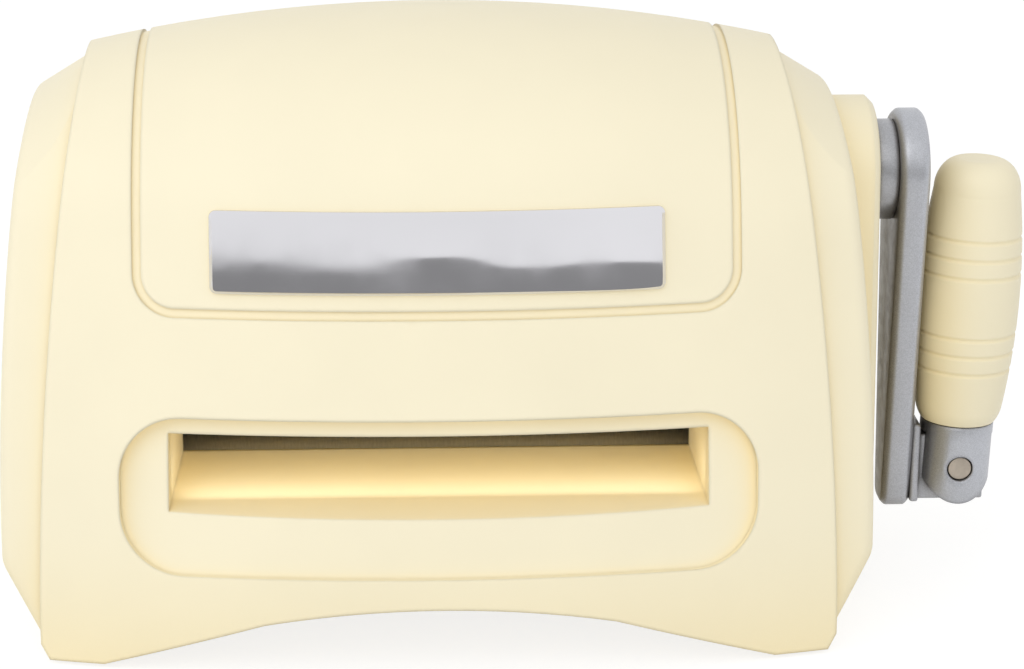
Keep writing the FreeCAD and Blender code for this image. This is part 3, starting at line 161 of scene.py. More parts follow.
class GripSizes(bpy.types.PropertyGroup):
    """The turned grip, measured along its spindle from the hinge pin."""
    start: length("Start", "Lower end of the grip above the hinge pin", 14.0)
    top: length("Top", "Upper end of the grip above the hinge pin", 98.1)
    end_radius: length("End radius", "Radius that the belly would have at the lower end", 12.8)
    waist_radius: length("Waist radius", "Radius under the rounded top", 13.4)
    waist_level: length("Waist level", "Level at which the rounded top starts", 88.2)
    belly_radius: length("Belly radius", "Radius of the long arc along the grip", 240.0)
    shoulder: length("Shoulder", "How far the rounded top draws in", 7.5)
    tuck: length("Tuck", "How far the lower end draws in", 1.1)
    tuck_length: length("Tuck length", "Length over which the lower end draws in", 4.5)
    lower_ring: length("Lower ring", "Level of the first ring of the lower set", 31.8)
    upper_ring: length("Upper ring", "Level of the first ring of the upper set", 62.8)
    ring_pitch: length("Ring pitch", "Distance from ring to ring", 5.8)
    ring_depth: length("Ring depth", "Depth of each ring groove", 0.55)
    ring_half_width: length("Ring half width", "Half the width of each ring groove", 1.0)
    bore: length("Bore", "Radius of the bore round the spindle", 4.05)
    sleeve: length("Sleeve", "Radius of the wider bore round the socket's spigot", 7.55)
    sleeve_top: length("Sleeve top", "Level at which the wider bore ends", 26.35)
    bore_top: length("Bore top", "Level at which the bore round the spindle ends", 88.35)
    lean: angle("Lean", "Lean of the folded grip away from the crank", 2.1)
    steps: IntProperty(name="Steps", description="Sections along the grip", default=460, min=40)
    facets: IntProperty(name="Facets", description="Facets round the grip", default=80, min=16)


class SoftEdges(bpy.types.PropertyGroup):
    """How far the edges of each casting are rounded off."""
    arm: length("Arm", "Crank arm", 1.0)
    hub: length("Hub", "Hub behind the crank arm", 0.5)
    socket: length("Socket", "Forked socket of the handle", 0.45)
    block: length("Block", "Hinge block at the arm's tip", 0.8)
    feet: length("Feet", "Rubber feet", 0.4)
    pin: length("Pin", "Ends of the hinge pin", 0.25)
    moulding: length("Moulding", "Radius at which the shell's edges catch the light", 1.8)
    casting: length("Casting", "Radius at which the crank's edges catch the light", 2.0)


class PlateForm(bpy.types.PropertyGroup):
    """The double curve of the shell's front under the bright plate."""
    side_axis: length("Side axis", "Depth of the axis that the front is turned about", 365.7)
    bow_radius: length("Bow radius", "Radius at which the front bows from side to side", 487.4)
    rim: angle("Rim", "Slant from which a face belongs to the plate's rim", 20)


class ScrewSizes(bpy.types.PropertyGroup):
    """The screws under the base and in the crank arm."""
    shell_head: length("Shell screw head", "Head radius of the shell's screws", 2.8)
    shell_head_height: length("Shell screw head height", "Head height of the shell's screws", 1.5)
    shell_shank: length("Shell screw shank", "Shank radius of the shell's screws", 1.5)
    base_head: length("Base screw head", "Head radius of the base's screws", 3.6)
    base_head_height: length("Base screw head height", "Head height of the base's screws", 2.2)
    base_shank: length("Base screw shank", "Shank radius of the base's screws", 2.0)
    crank_head: length("Crank screw head", "Head radius of the crank's screw", 6.4)
    crank_head_height: length("Crank screw head height", "Head height of the crank's screw", 3.2)
    crank_shank: length("Crank screw shank", "Shank radius of the crank's screw", 3.0)


class StageSizes(bpy.types.PropertyGroup):
    """Camera, lamps and floor."""
    distance: reach("Distance", "Camera to target", 0.901)
    target_height: length("Target height", "Height of the point the camera faces", 78.0)
    azimuth: angle("Azimuth", "Turn of the camera round the machine", -1.2)
    elevation: angle("Elevation", "Height of the camera above the horizon", 17.0)
    roll: angle("Roll", "Turn of the camera about its own line of sight", -0.3)
    lens: FloatProperty(name="Lens", description="Focal length", unit="CAMERA", default=101.0)
    shift: level("Shift", "Sideways shift of the lens", 0.077)
    floor_radius: reach("Floor radius", "Reach of the floor", 5.0)
    sky: level("Sky", "Even light from all round", 0.70)
    key: power("Key lamp", "Large soft lamp above the camera", 4.0)
    fill: power("Fill lamp", "Soft lamp on the left", 3.0)
    low: power("Low lamp", "Soft lamp that faces the slot", 4.3)
    slot: power("Slot lamp", "Strip that lights the feed slot", 0.0075)
    card: level("Card", "Brightness of the card that the plate mirrors", 0.30)
    card_top: reach("Card top", "Height of that card", 0.54)
    glow: level("Floor glow", "How bright the floor is seen in full shade", 0.80)


GROUPS = {
    "machine_colours": MachineColours, "grip_sizes": GripSizes, "soft_edges": SoftEdges,
    "plate_form": PlateForm, "screw_sizes": ScrewSizes, "stage_sizes": StageSizes,
}


# Materials

class Surface:
    """A procedural material in the making. Patterns read the object's own metres."""

    def __init__(self, name, base, metallic=0.0, roughness=0.5):
        self.material = bpy.data.materials.new(name)
        self.material.use_nodes = True
        self.nodes = self.material.node_tree.nodes
        self.links = self.material.node_tree.links
        self.shader = self.nodes["Principled BSDF"]
        self.base = tuple(base)
        self.shader.inputs["Base Color"].default_value = (*self.base, 1)
        self.shader.inputs["Metallic"].default_value = metallic
        self.shader.inputs["Roughness"].default_value = roughness
        self.place = self.nodes.new("ShaderNodeTexCoord").outputs["Object"]
        self.normal = None

    def add(self, kind, settings=(), **values):
        """A node with its settings made, and its inputs set or linked by name."""
        node = self.nodes.new(kind)
        for key, value in dict(settings).items():
            setattr(node, key, value)
        for key, value in values.items():
            self.join(value, node.inputs[key.replace("_", " ")])
        return node

    def join(self, value, socket):
        if isinstance(value, bpy.types.NodeSocket):
            self.links.new(value, socket)
        else:
            socket.default_value = value

    def stretched(self, x, y, z):
        mapping = self.add("ShaderNodeMapping", Vector=self.place)
        mapping.inputs["Scale"].default_value = (x, y, z)
        return mapping.outputs["Vector"]

    def noise(self, per_metre, detail=2.0, place=None):
        """Clouds, this many to the metre. Detail adds finer ones."""
        node = self.add(
            "ShaderNodeTexNoise", Vector=place or self.place, Scale=per_metre, Detail=detail,
            Roughness=0.55)
        return node.outputs["Fac"]

    def cells(self, per_metre):
        """Flakes or crystals, this many to the metre, each of one tone."""
        node = self.add("ShaderNodeTexVoronoi", Vector=self.place, Scale=per_metre)
        return node.outputs["Color"]

    def between(self, pattern, low, high):
        """A pattern spread over low to high."""
        node = self.add(
            "ShaderNodeMapRange", Value=pattern, From_Min=PATTERN_LOW, From_Max=PATTERN_HIGH,
            To_Min=low, To_Max=high)
        return node.outputs["Result"]

    def paint(self, mix):
        """The colour that comes out of a mix is the base colour."""
        tinted = next(output for output in mix.outputs if output.type == "RGBA")
        self.links.new(tinted, self.shader.inputs["Base Color"])
        return self

    def shade(self, pattern, dark, light):
        """The base colour, dimmed and lifted along a pattern."""
        node = self.add("ShaderNodeMix", {"data_type": "RGBA"})
        self.links.new(self.between(pattern, 0.0, 1.0), node.inputs["Factor"])
        for key, factor in (("A", dark), ("B", light)):
            node.inputs[key].default_value = (*[min(part * factor, 1) for part in self.base], 1)
        return self.paint(node)

    def gloss(self, pattern, low, high):
        """The roughness, from low to high along a pattern."""
        self.links.new(self.between(pattern, low, high), self.shader.inputs["Roughness"])
        return self

    def deepen(self, reach, shade_tint):
        """Painted shade: the base colour darkened towards a given colour where other surfaces stand close."""
        near = self.add("ShaderNodeAmbientOcclusion", {"samples": SHADING_RAYS}, Distance=reach)
        shaded_share = self.add("ShaderNodeMath", {"operation": "SUBTRACT"})
        shaded_share.inputs[0].default_value = 1.0
        self.links.new(near.outputs["AO"], shaded_share.inputs[1])
        node = self.add("ShaderNodeMix", {"data_type": "RGBA", "blend_type": "MULTIPLY"})
        self.links.new(shaded_share.outputs[0], node.inputs["Factor"])
        self.links.new(self.shader.inputs["Base Color"].links[0].from_socket, node.inputs["A"])
        node.inputs["B"].default_value = (*shade_tint, 1)
        return self.paint(node)

    def soften(self, radius):
        """Edges that catch the light as if they were rounded."""
        node = self.add("ShaderNodeBevel", {"samples": SHADING_RAYS}, Radius=radius)
        self.normal = node.outputs["Normal"]
        self.links.new(self.normal, self.shader.inputs["Normal"])
        return self

    def relief(self, pattern, strength, depth):
        """A fine relief along a pattern, this many metres deep."""
        node = self.add("ShaderNodeBump", Height=pattern, Strength=strength, Distance=depth)
        if self.normal:
            self.links.new(self.normal, node.inputs["Normal"])
        self.normal = node.outputs["Normal"]
        self.links.new(self.normal, self.shader.inputs["Normal"])
        return self


def moulded_plastic(name, base, radius):
    """Satin plastic from a finely textured mould, with a faint cloudiness and painted warm shade where other
    surfaces stand close.
    """
    surface = Surface(name, base)
    surface.shade(surface.noise(22.0), dark=0.985, light=1.012)
    surface.gloss(surface.noise(420.0), low=0.40, high=0.50)
    # Painted shade: darker, warmer cream in the grooves, seams and feed slot, where other surfaces stand close
    surface.deepen(reach=0.045, shade_tint=(1.0, 0.90, 0.66)).soften(radius)
    surface.relief(surface.noise(2600.0, detail=1.0), strength=0.16, depth=0.00006)
    surface.shader.inputs["Specular IOR Level"].default_value = 0.35
    return surface.material


def silver_paint(name, base, radius):
    """Satin metallic paint: small flakes that sparkle a little, over a soft orange peel, with painted shade in the
    narrow gaps.
    """
    surface = Surface(name, base, metallic=0.82)
    surface.shade(surface.cells(5200.0), dark=0.90, light=1.10)
    surface.gloss(surface.noise(300.0), low=0.34, high=0.44)
    # Painted shade: darker, warm colour in narrow gaps, such as between the crank arm and the body
    surface.deepen(reach=0.035, shade_tint=(0.40, 0.36, 0.30)).soften(radius)
    surface.relief(surface.noise(700.0), strength=0.20, depth=0.00008)
    return surface.material


def mirror_plate(name, base):
    """Bright plate under clear resin, with the slow waves of a thin sheet."""
    surface = Surface(name, base, metallic=1.0)
    surface.shade(surface.noise(9.0), dark=0.94, light=1.03)
    surface.gloss(surface.noise(60.0), low=0.05, high=0.11)
    waves = surface.noise(34.0, detail=1.0, place=surface.stretched(0.6, 1.0, 1.6))
    surface.relief(waves, strength=0.30, depth=0.0010)
    surface.shader.inputs["Coat Weight"].default_value = 0.25
    surface.shader.inputs["Coat Roughness"].default_value = 0.03
    return surface.material


def turned_metal(name, base, across=(1.0, 1.0, 1.0), roughness=(0.24, 0.36)):
    """Lathe-turned metal: fine lines across its axis. across is high along that axis."""
    surface = Surface(name, base, metallic=1.0)
    lines = surface.noise(420.0, detail=3.0, place=surface.stretched(*across))
    surface.shade(lines, dark=0.88, light=1.10).gloss(lines, *roughness)
    surface.relief(lines, strength=0.25, depth=0.00004)
    return surface.material


def cut_steel(name, base):
    """Milled gear steel with a thin, patchy film of oil."""
    surface = Surface(name, base, metallic=1.0)
    surface.shade(surface.noise(160.0, detail=4.0), dark=0.80, light=1.10)
    surface.gloss(surface.noise(90.0, detail=3.0), low=0.26, high=0.46)
    surface.relief(surface.noise(2400.0), strength=0.20, depth=0.00004)
    return surface.material


def zinc_sheet(name, base):
    """Galvanised sheet with its crystal spangle."""
    surface = Surface(name, base, metallic=0.75)
    spangle = surface.cells(260.0)
    surface.shade(spangle, dark=0.82, light=1.14).gloss(spangle, low=0.38, high=0.54)
    surface.relief(surface.noise(1500.0), strength=0.12, depth=0.00005)
    return surface.material


def sintered_bronze(name, base):
    """Porous bearing bronze."""
    surface = Surface(name, base, metallic=1.0)
    surface.shade(surface.noise(1900.0, detail=4.0), dark=0.72, light=1.12)
    surface.gloss(surface.noise(900.0), low=0.38, high=0.56)
    surface.relief(surface.cells(3000.0), strength=0.22, depth=0.00005)
    return surface.material


def moulded_rubber(name, base):
    """Matt rubber with a powdery bloom."""
    surface = Surface(name, base)
    surface.shade(surface.noise(500.0, detail=4.0), dark=0.70, light=1.70)
    surface.gloss(surface.noise(800.0), low=0.72, high=0.88)
    surface.relief(surface.noise(3200.0), strength=0.30, depth=0.00008)
    return surface.material


def make_finishes(scene):
    """One material for each slot, and two more for the rollers and the hinge pin."""
    tones, edges = scene.machine_colours, scene.soft_edges
    return {
        "cream_shell": moulded_plastic("moulded_cream", tones.shell, edges.moulding),
        "cream_grip": moulded_plastic("grip_cream", tones.grip, edges.socket),
        "bright_plate": mirror_plate("mirror_plate", tones.plate),
        "silver_paint": silver_paint("satin_silver_paint", tones.silver, edges.casting),
        "frame_steel": zinc_sheet("zinc_sheet", tones.sheet),
        "turned_steel": turned_metal("turned_steel", tones.steel, (12.0, 0.3, 0.3)),
        "gear_steel": cut_steel("gear_steel", tones.gear),
        "bush_bronze": sintered_bronze("sintered_bronze", tones.bronze),
        "rubber": moulded_rubber("foot_rubber", tones.rubber),
        "roller_steel": turned_metal("roller_steel", tones.roller, (4.0, 1.0, 1.0), (0.46, 0.58)),
        "pin_steel": turned_metal("pin_steel", tones.pin, roughness=(0.34, 0.50)),
    }


finishes = {}


# Mesh helpers

def stands_for(piece, node):
    """The piece moves with the node's body and takes its place."""
    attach(piece, body_of(node))
    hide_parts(node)


def linked(name, data):
    """A new object of this data in the scene."""
    made = bpy.data.objects.new(name, data)
    bpy.context.collection.objects.link(made)
    return made


def smoothed(piece):
    """Smooth surfaces that keep their sharp edges."""
    piece.data.shade_smooth()
    piece.data.set_sharp_from_angle(angle=SHARP_FROM)


def slot_of(node):
    parts = frame["record"]["subparts"]
    return next(part["material_slot"] for part in parts if part["node"] == node)


def body_of(node):
    bodies = frame["record"]["behaviour"]["bodies"]
    return next(body for body, nodes in bodies.items() if node in nodes)


def carried_over(*nodes, finish=None):
    """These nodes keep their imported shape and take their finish."""
    for node in nodes:
        packed = frame["nodes"][node]
        packed.data.materials.clear()
        packed.data.materials.append(finish or finishes[slot_of(node)])


def softened(node, radius, segments=3, finish=None):
    """A copy of a node in its place, its faces joined and its edges rounded off."""
    mesh = bpy.data.meshes.new(f"{node}_cast")
    work = bmesh.new()
    work.from_mesh(frame["nodes"][node].data)
    bmesh.ops.remove_doubles(work, verts=work.verts, dist=WELD)
    bmesh.ops.dissolve_limit(work, angle_limit=FLAT, verts=work.verts, edges=work.edges)
    for face in work.faces:
        face.smooth = True
    work.to_mesh(mesh)
    work.free()
    mesh.materials.append(finish or finishes[slot_of(node)])
    piece = linked(f"{node}_cast", mesh)
    bevel = piece.modifiers.new("Rounded edges", "BEVEL")
    bevel.width, bevel.segments, bevel.limit_method = radius, segments, "ANGLE"
    bevel.angle_limit, bevel.harden_normals = ROUNDED_FROM, True
    bevel.use_clamp_overlap, bevel.miter_outer = True, "MITER_ARC"
    stands_for(piece, node)


# Geometry Nodes helpers

class Recipe:
    """A Geometry Nodes tree with named inputs, wired step by step."""

    def __init__(self, name, **inputs):
        self.tree = bpy.data.node_groups.new(name, "GeometryNodeTree")
        face = self.tree.interface
        face.new_socket(name="Geometry", in_out="INPUT", socket_type="NodeSocketGeometry")
        self.inputs = {
            key: face.new_socket(
                name=key.replace("_", " ").capitalize(), in_out="INPUT", socket_type=kind)
            for key, kind in inputs.items()
        }
        face.new_socket(name="Geometry", in_out="OUTPUT", socket_type="NodeSocketGeometry")
        self.start = self.tree.nodes.new("NodeGroupInput")
        self.end = self.tree.nodes.new("NodeGroupOutput")

    def given(self, key):
        return self.start.outputs[self.inputs[key].name]

    def add(self, kind, settings=(), wires=()):
        """A node with its settings made and its inputs set or linked, by name or by number."""
        node = self.tree.nodes.new(kind)
        for key, value in dict(settings).items():
            setattr(node, key, value)
        for key, value in dict(wires).items():
            if isinstance(value, bpy.types.NodeSocket):
                self.tree.links.new(value, node.inputs[key])
            else:
                node.inputs[key].default_value = value
        return node

    def maths(self, operation, *values):
        """One step of arithmetic."""
        return self.add("ShaderNodeMath", {"operation": operation}, enumerate(values)).outputs[0]

    def combine(self, x=0.0, y=0.0, z=0.0):
        return self.add("ShaderNodeCombineXYZ", (), {"X": x, "Y": y, "Z": z}).outputs[0]

    def joined(self, *parts):
        node = self.tree.nodes.new("GeometryNodeJoinGeometry")
        for part in parts:
            self.tree.links.new(part, node.inputs[0])
        return node.outputs[0]

    def cut(self, body, *tools):
        """A closed body less these closed tools."""
        node = self.add(
            "GeometryNodeMeshBoolean", {"operation": "DIFFERENCE", "solver": "EXACT"}, {0: body})
        for tool in tools:
            self.tree.links.new(tool, node.inputs[1])
        return node.outputs[0]

    def finish_with(self, geometry, material):
        """Instances made real, then the material."""
        real = self.add("GeometryNodeRealizeInstances", (), {"Geometry": geometry}).outputs[0]
        painted = self.add("GeometryNodeSetMaterial", (), {"Geometry": real, "Material": material})
        self.tree.links.new(painted.outputs[0], self.end.inputs[0])

    def apply(self, name, points, **values):
        """The recipe's result as a plain mesh object, made from a mesh of these points."""
        seed = bpy.data.meshes.new(name)
        seed.from_pydata(points, [], [])
        carrier = linked(f"{name}_points", seed)
        modifier = carrier.modifiers.new(name, "NODES")
        modifier.node_group = self.tree
        for key, value in values.items():
            modifier[self.inputs[key].identifier] = value
        ready = carrier.evaluated_get(bpy.context.evaluated_depsgraph_get())
        mesh = bpy.data.meshes.new_from_object(ready)
        carrier.modifiers.remove(modifier)
        bpy.data.objects.remove(carrier)
        if not mesh.polygons:
            raise RuntimeError(f"{name} came out empty")
        return linked(name, mesh)


NUMBER, COUNT = "NodeSocketFloat", "NodeSocketInt"
PLACE, FINISH = "NodeSocketVector", "NodeSocketMaterial"


def grip_recipe():
    """A grip turned to a rule: long belly, rounded top, tucked lower end and two sets of rings."""
    kinds = dict.fromkeys(GripSizes.__annotations__, NUMBER)
    kinds.update(steps=COUNT, facets=COUNT)
    recipe = Recipe("turned_grip", **kinds, pin=PLACE, material=FINISH)
    given, maths = recipe.given, recipe.maths
    line = recipe.add("GeometryNodeCurvePrimitiveLine", (), {"End": (0.0, 0.0, 1.0)})
    fine = recipe.add("GeometryNodeResampleCurve", (), {
        "Curve": line.outputs[0], "Count": given("steps")})
    share = recipe.add("GeometryNodeSplineParameter").outputs["Factor"]

    # The first sections climb the side, the last ones round the top
    run = maths("SUBTRACT", given("waist_level"), given("start"))
    climb = maths("MINIMUM", maths("DIVIDE", share, SIDE_SHARE), 1.0)
    side = maths("MULTIPLY_ADD", climb, run, given("start"))
    past_side = maths("DIVIDE", maths("SUBTRACT", share, SIDE_SHARE), CROWN_SHARE)
    turn = maths("MULTIPLY", maths("MAXIMUM", past_side, 0.0), math.pi / 2)
    crown = maths("SUBTRACT", given("top"), given("waist_level"))
    level = maths("MULTIPLY_ADD", maths("SINE", turn), crown, side)

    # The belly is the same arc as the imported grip's
    up_from_start = maths("SUBTRACT", side, given("start"))
    along = maths("MINIMUM", maths("DIVIDE", up_from_start, run), 1.0)
    hump = maths("MULTIPLY", along, maths("SUBTRACT", 1.0, along))
    belly = maths("DIVIDE", maths("MULTIPLY", hump, maths("MULTIPLY", run, run)),
                  maths("MULTIPLY", given("belly_radius"), 2.0))
    widening = maths("SUBTRACT", given("waist_radius"), given("end_radius"))
    body = maths("ADD", maths("MULTIPLY_ADD", along, widening, given("end_radius")), belly)
    past_tuck = maths("MINIMUM", maths("DIVIDE", up_from_start, given("tuck_length")), 1.0)
    tuck = maths("MULTIPLY", given("tuck"), maths("POWER", maths("SUBTRACT", 1.0, past_tuck), 2.0))
    rounding = maths("MULTIPLY", given("shoulder"), maths("SUBTRACT", 1.0, maths("COSINE", turn)))
    radius = maths("SUBTRACT", maths("SUBTRACT", body, tuck), rounding)

    # The rings of each set, each groove a smooth dip
    for lowest in ("lower_ring", "upper_ring"):
        steps_up = maths("DIVIDE", maths("SUBTRACT", side, given(lowest)), given("ring_pitch"))
        nearest = maths("MAXIMUM", maths("ROUND", steps_up), 0.0)
        nearest = maths("MINIMUM", nearest, float(RINGS_IN_A_SET - 1))
        steps_away = maths("ABSOLUTE", maths("SUBTRACT", steps_up, nearest))
        away = maths("MULTIPLY", steps_away, given("ring_pitch"))
        past = maths("MINIMUM", maths("DIVIDE", away, given("ring_half_width")), 1.0)
        near = maths("SUBTRACT", 1.0, past)
        easing = maths("MULTIPLY_ADD", near, -2.0, 3.0)
        smooth = maths("MULTIPLY", maths("MULTIPLY", near, near), easing)
        radius = maths("SUBTRACT", radius, maths("MULTIPLY", smooth, given("ring_depth")))

    sized = recipe.add("GeometryNodeSetCurveRadius", (), {
        "Curve": fine.outputs[0], "Radius": radius})
    placed = recipe.add("GeometryNodeSetPosition", (), {
        "Geometry": sized.outputs[0], "Position": recipe.combine(z=level)})
    circle = recipe.add("GeometryNodeCurvePrimitiveCircle", (), {
        "Resolution": given("facets"), "Radius": 1.0})
    turned = recipe.add("GeometryNodeCurveToMesh", (), {
        "Curve": placed.outputs[0], "Profile Curve": circle.outputs[0], "Fill Caps": True,
        "Scale": recipe.add("GeometryNodeInputRadius").outputs[0]})

    def drill(radius_key, top_key):
        """A straight bore from under the grip up to a level."""
        below = maths("SUBTRACT", given("start"), BORE_RUN_IN)
        depth = maths("SUBTRACT", given(top_key), below)
        rod = recipe.add("GeometryNodeMeshCylinder", (), {
            "Vertices": BORE_FACETS, "Radius": given(radius_key), "Depth": depth})
        middle = maths("MULTIPLY_ADD", depth, 0.5, below)
        return recipe.add("GeometryNodeTransform", (), {
            "Geometry": rod.outputs[0], "Translation": recipe.combine(z=middle)}).outputs[0]

    bored = recipe.cut(turned.outputs[0], drill("sleeve", "sleeve_top"), drill("bore", "bore_top"))
    leaning = recipe.add("GeometryNodeTransform", (), {
        "Geometry": bored, "Translation": given("pin"),
        "Rotation": recipe.combine(y=given("lean"))})
    recipe.finish_with(leaning.outputs[0], given("material"))
    return recipe


def screw_recipe():
    """A screw on every point: a rounded head, a shank and a recess for the driver."""
    recipe = Recipe(
        "driven_screws", head=NUMBER, height=NUMBER, shank=NUMBER, reach=NUMBER, drive=NUMBER,
        sides=COUNT, turn=PLACE, material=FINISH)
    given, maths = recipe.given, recipe.maths
    # Built upright with the head's face at the bottom, as it is driven upwards
    shape = recipe.add("GeometryNodeMeshCylinder", (), {
        "Vertices": HEAD_FACETS, "Radius": given("head"), "Depth": given("height")})
    up = recipe.combine(z=maths("MULTIPLY", given("height"), 0.5))
    head = recipe.add("GeometryNodeTransform", (), {
        "Geometry": shape.outputs[0], "Translation": up})
    cutter = recipe.add("GeometryNodeMeshCylinder", (), {
        "Vertices": given("sides"), "Radius": given("drive"),
        "Depth": maths("MULTIPLY", given("height"), RECESS_LENGTH)})
    driven = recipe.cut(head.outputs[0], cutter.outputs[0])
    rod = recipe.add("GeometryNodeMeshCylinder", (), {
        "Vertices": SHANK_FACETS, "Radius": given("shank"), "Depth": given("reach")})
    rod_up = recipe.combine(z=maths("MULTIPLY_ADD", given("reach"), 0.5, given("height")))
    shank = recipe.add("GeometryNodeTransform", (), {
        "Geometry": rod.outputs[0], "Translation": rod_up})
    spread = recipe.add("GeometryNodeInstanceOnPoints", (), {
        "Points": recipe.start.outputs[0], "Instance": recipe.joined(driven, shank.outputs[0]),
        "Rotation": given("turn")})
    recipe.finish_with(spread.outputs[0], given("material"))
    return recipe


# Operators

class MACHINE_OT_stage(bpy.types.Operator):
    """Floor, sky, lamps and camera"""
    bl_idname = "machine.stage"
    bl_label = "Stage"

    def execute(self, context):
        sizes = context.scene.stage_sizes
        self.floor(sizes)
        self.sky(context.scene, sizes)
        self.lamp("key_lamp", sizes.key, LAMP_WIDTH, KEY_PLACE)
        self.lamp("fill_lamp", sizes.fill, LAMP_WIDTH, FILL_PLACE)
        self.lamp("low_lamp", sizes.low, LAMP_WIDTH, LOW_PLACE, mirrored=False)
        strip = self.lamp("slot_lamp", sizes.slot, SLOT_LAMP_WIDTH, SLOT_LAMP_PLACE, mirrored=False)
        strip.data.shape, strip.data.size_y = "RECTANGLE", SLOT_LAMP_HEIGHT
        strip.rotation_euler = (math.pi / 2, 0, 0)
        self.card(sizes)
        self.camera(context.scene, sizes)
        context.scene.view_settings.view_transform = "Standard"
        return {"FINISHED"}

    @staticmethod
    def seen(nodes, links):
        """1 on rays from the camera, or that a gloss or a glass sends on, and 0 on others."""
        path = nodes.new("ShaderNodeLightPath")
        total = path.outputs["Is Camera Ray"]
        for key in ("Is Glossy Ray", "Is Transmission Ray"):
            step = nodes.new("ShaderNodeMath")
            step.operation = "MAXIMUM"
            links.new(total, step.inputs[0])
            links.new(path.outputs[key], step.inputs[1])
            total = step.outputs[0]
        return total

    def floor(self, sizes):
        """A pale round floor that keeps the machine's shadow, and is clear from below."""
        mesh = bpy.data.meshes.new("studio_floor")
        work = bmesh.new()
        bmesh.ops.create_circle(
            work, cap_ends=True, segments=FLOOR_SEGMENTS, radius=sizes.floor_radius)
        work.to_mesh(mesh)
        work.free()
        material = bpy.data.materials.new("floor_white")
        material.use_nodes = True
        nodes, links = material.node_tree.nodes, material.node_tree.links
        nodes.clear()
        seen = self.seen(nodes, links)
        # Seen, it is white with a faint shadow. Unseen, it throws the light of white paper back
        reply = nodes.new("ShaderNodeMapRange")
        reply.inputs["To Min"].default_value = PAPER
        reply.inputs["To Max"].default_value = SEEN_PAPER
        links.new(seen, reply.inputs["Value"])
        matt = nodes.new("ShaderNodeBsdfDiffuse")
        links.new(reply.outputs[0], matt.inputs["Color"])
        glow = nodes.new("ShaderNodeEmission")
        strength = nodes.new("ShaderNodeMath")
        strength.operation = "MULTIPLY"
        strength.inputs[1].default_value = sizes.glow
        links.new(seen, strength.inputs[0])
        links.new(strength.outputs[0], glow.inputs["Strength"])
        both = nodes.new("ShaderNodeAddShader")
        links.new(matt.outputs[0], both.inputs[0])
        links.new(glow.outputs[0], both.inputs[1])
        clear = nodes.new("ShaderNodeBsdfTransparent")
        side = nodes.new("ShaderNodeMixShader")
        links.new(nodes.new("ShaderNodeNewGeometry").outputs["Backfacing"], side.inputs[0])
        links.new(both.outputs[0], side.inputs[1])
        links.new(clear.outputs[0], side.inputs[2])
        links.new(side.outputs[0], nodes.new("ShaderNodeOutputMaterial").inputs["Surface"])
        mesh.materials.append(material)
        linked("studio_floor", mesh)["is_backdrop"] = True

    @staticmethod
    def card(sizes):
        """A grey card behind the camera that only the bright surfaces mirror."""
        mesh = bpy.data.meshes.new("grey_card")
        corners = [(-CARD_HALF, 0.0), (CARD_HALF, 0.0), (CARD_HALF, sizes.card_top),
                   (-CARD_HALF, sizes.card_top)]
        mesh.from_pydata([(x, -CARD_DEPTH, z) for x, z in corners], [], [(3, 2, 1, 0)])
        material = bpy.data.materials.new("card_grey")
        material.use_nodes = True
        nodes, links = material.node_tree.nodes, material.node_tree.links
        nodes.clear()
        glow = nodes.new("ShaderNodeEmission")
        glow.inputs["Strength"].default_value = sizes.card
        links.new(glow.outputs[0], nodes.new("ShaderNodeOutputMaterial").inputs["Surface"])
        mesh.materials.append(material)
        sheet = linked("grey_card", mesh)
        sheet.visible_camera = sheet.visible_diffuse = False
        sheet.visible_shadow = sheet.visible_transmission = False
        sheet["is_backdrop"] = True

    def sky(self, scene, sizes):
        """Even light from all round, white where it is seen."""
        world = bpy.data.worlds.new("studio_sky")
        world.use_nodes = True
        scene.world = world
        nodes, links = world.node_tree.nodes, world.node_tree.links
        span = nodes.new("ShaderNodeMapRange")
        span.inputs["To Min"].default_value = sizes.sky
        span.inputs["To Max"].default_value = 1.0
        links.new(self.seen(nodes, links), span.inputs["Value"])
        links.new(span.outputs[0], nodes["Background"].inputs["Strength"])
        nodes["Background"].inputs["Color"].default_value = (1, 1, 1, 1)

    @staticmethod
    def lamp(name, watts, width, place, mirrored=True):
        """A round soft lamp that faces the machine."""
        light = bpy.data.lights.new(name, "AREA")
        light.energy, light.size, light.shape = watts, width, "DISK"
        lamp = linked(name, light)
        lamp.location = place
        lamp.visible_glossy = mirrored
        aim = Vector(LAMPS_FACE) - Vector(place)
        lamp.rotation_euler = aim.to_track_quat("-Z", "Y").to_euler()
        return lamp

    @staticmethod
    def camera(scene, sizes):
        """The photograph's viewing angle and framing."""
        lens = bpy.data.cameras.new("camera")
        lens.lens, lens.sensor_width, lens.shift_x = sizes.lens, SENSOR_WIDTH, sizes.shift
        lens.clip_start, lens.clip_end = NEAREST, FARTHEST
        camera = linked("camera", lens)
        turn, rise = sizes.azimuth, sizes.elevation
        back = Vector((
            math.sin(turn) * math.cos(rise), -math.cos(turn) * math.cos(rise), math.sin(rise)))
        camera.location = Vector((0, 0, sizes.target_height)) + back * sizes.distance
        facing = (-back).to_track_quat("-Z", "Y").to_matrix()
        camera.rotation_euler = (facing @ Matrix.Rotation(sizes.roll, 3, "Z")).to_euler()
        scene.camera = camera


class MACHINE_OT_housing(bpy.types.Operator):
    """Cream shell, end caps and base, with their rubber feet"""
    bl_idname = "machine.housing"
    bl_label = "Housing"

    def execute(self, context):
        edges = context.scene.soft_edges
        carried_over("front_shell", "rear_shell", "left_end_cap", "right_end_cap", "base_cover")
        softened("rubber_feet", edges.feet)
        return {"FINISHED"}


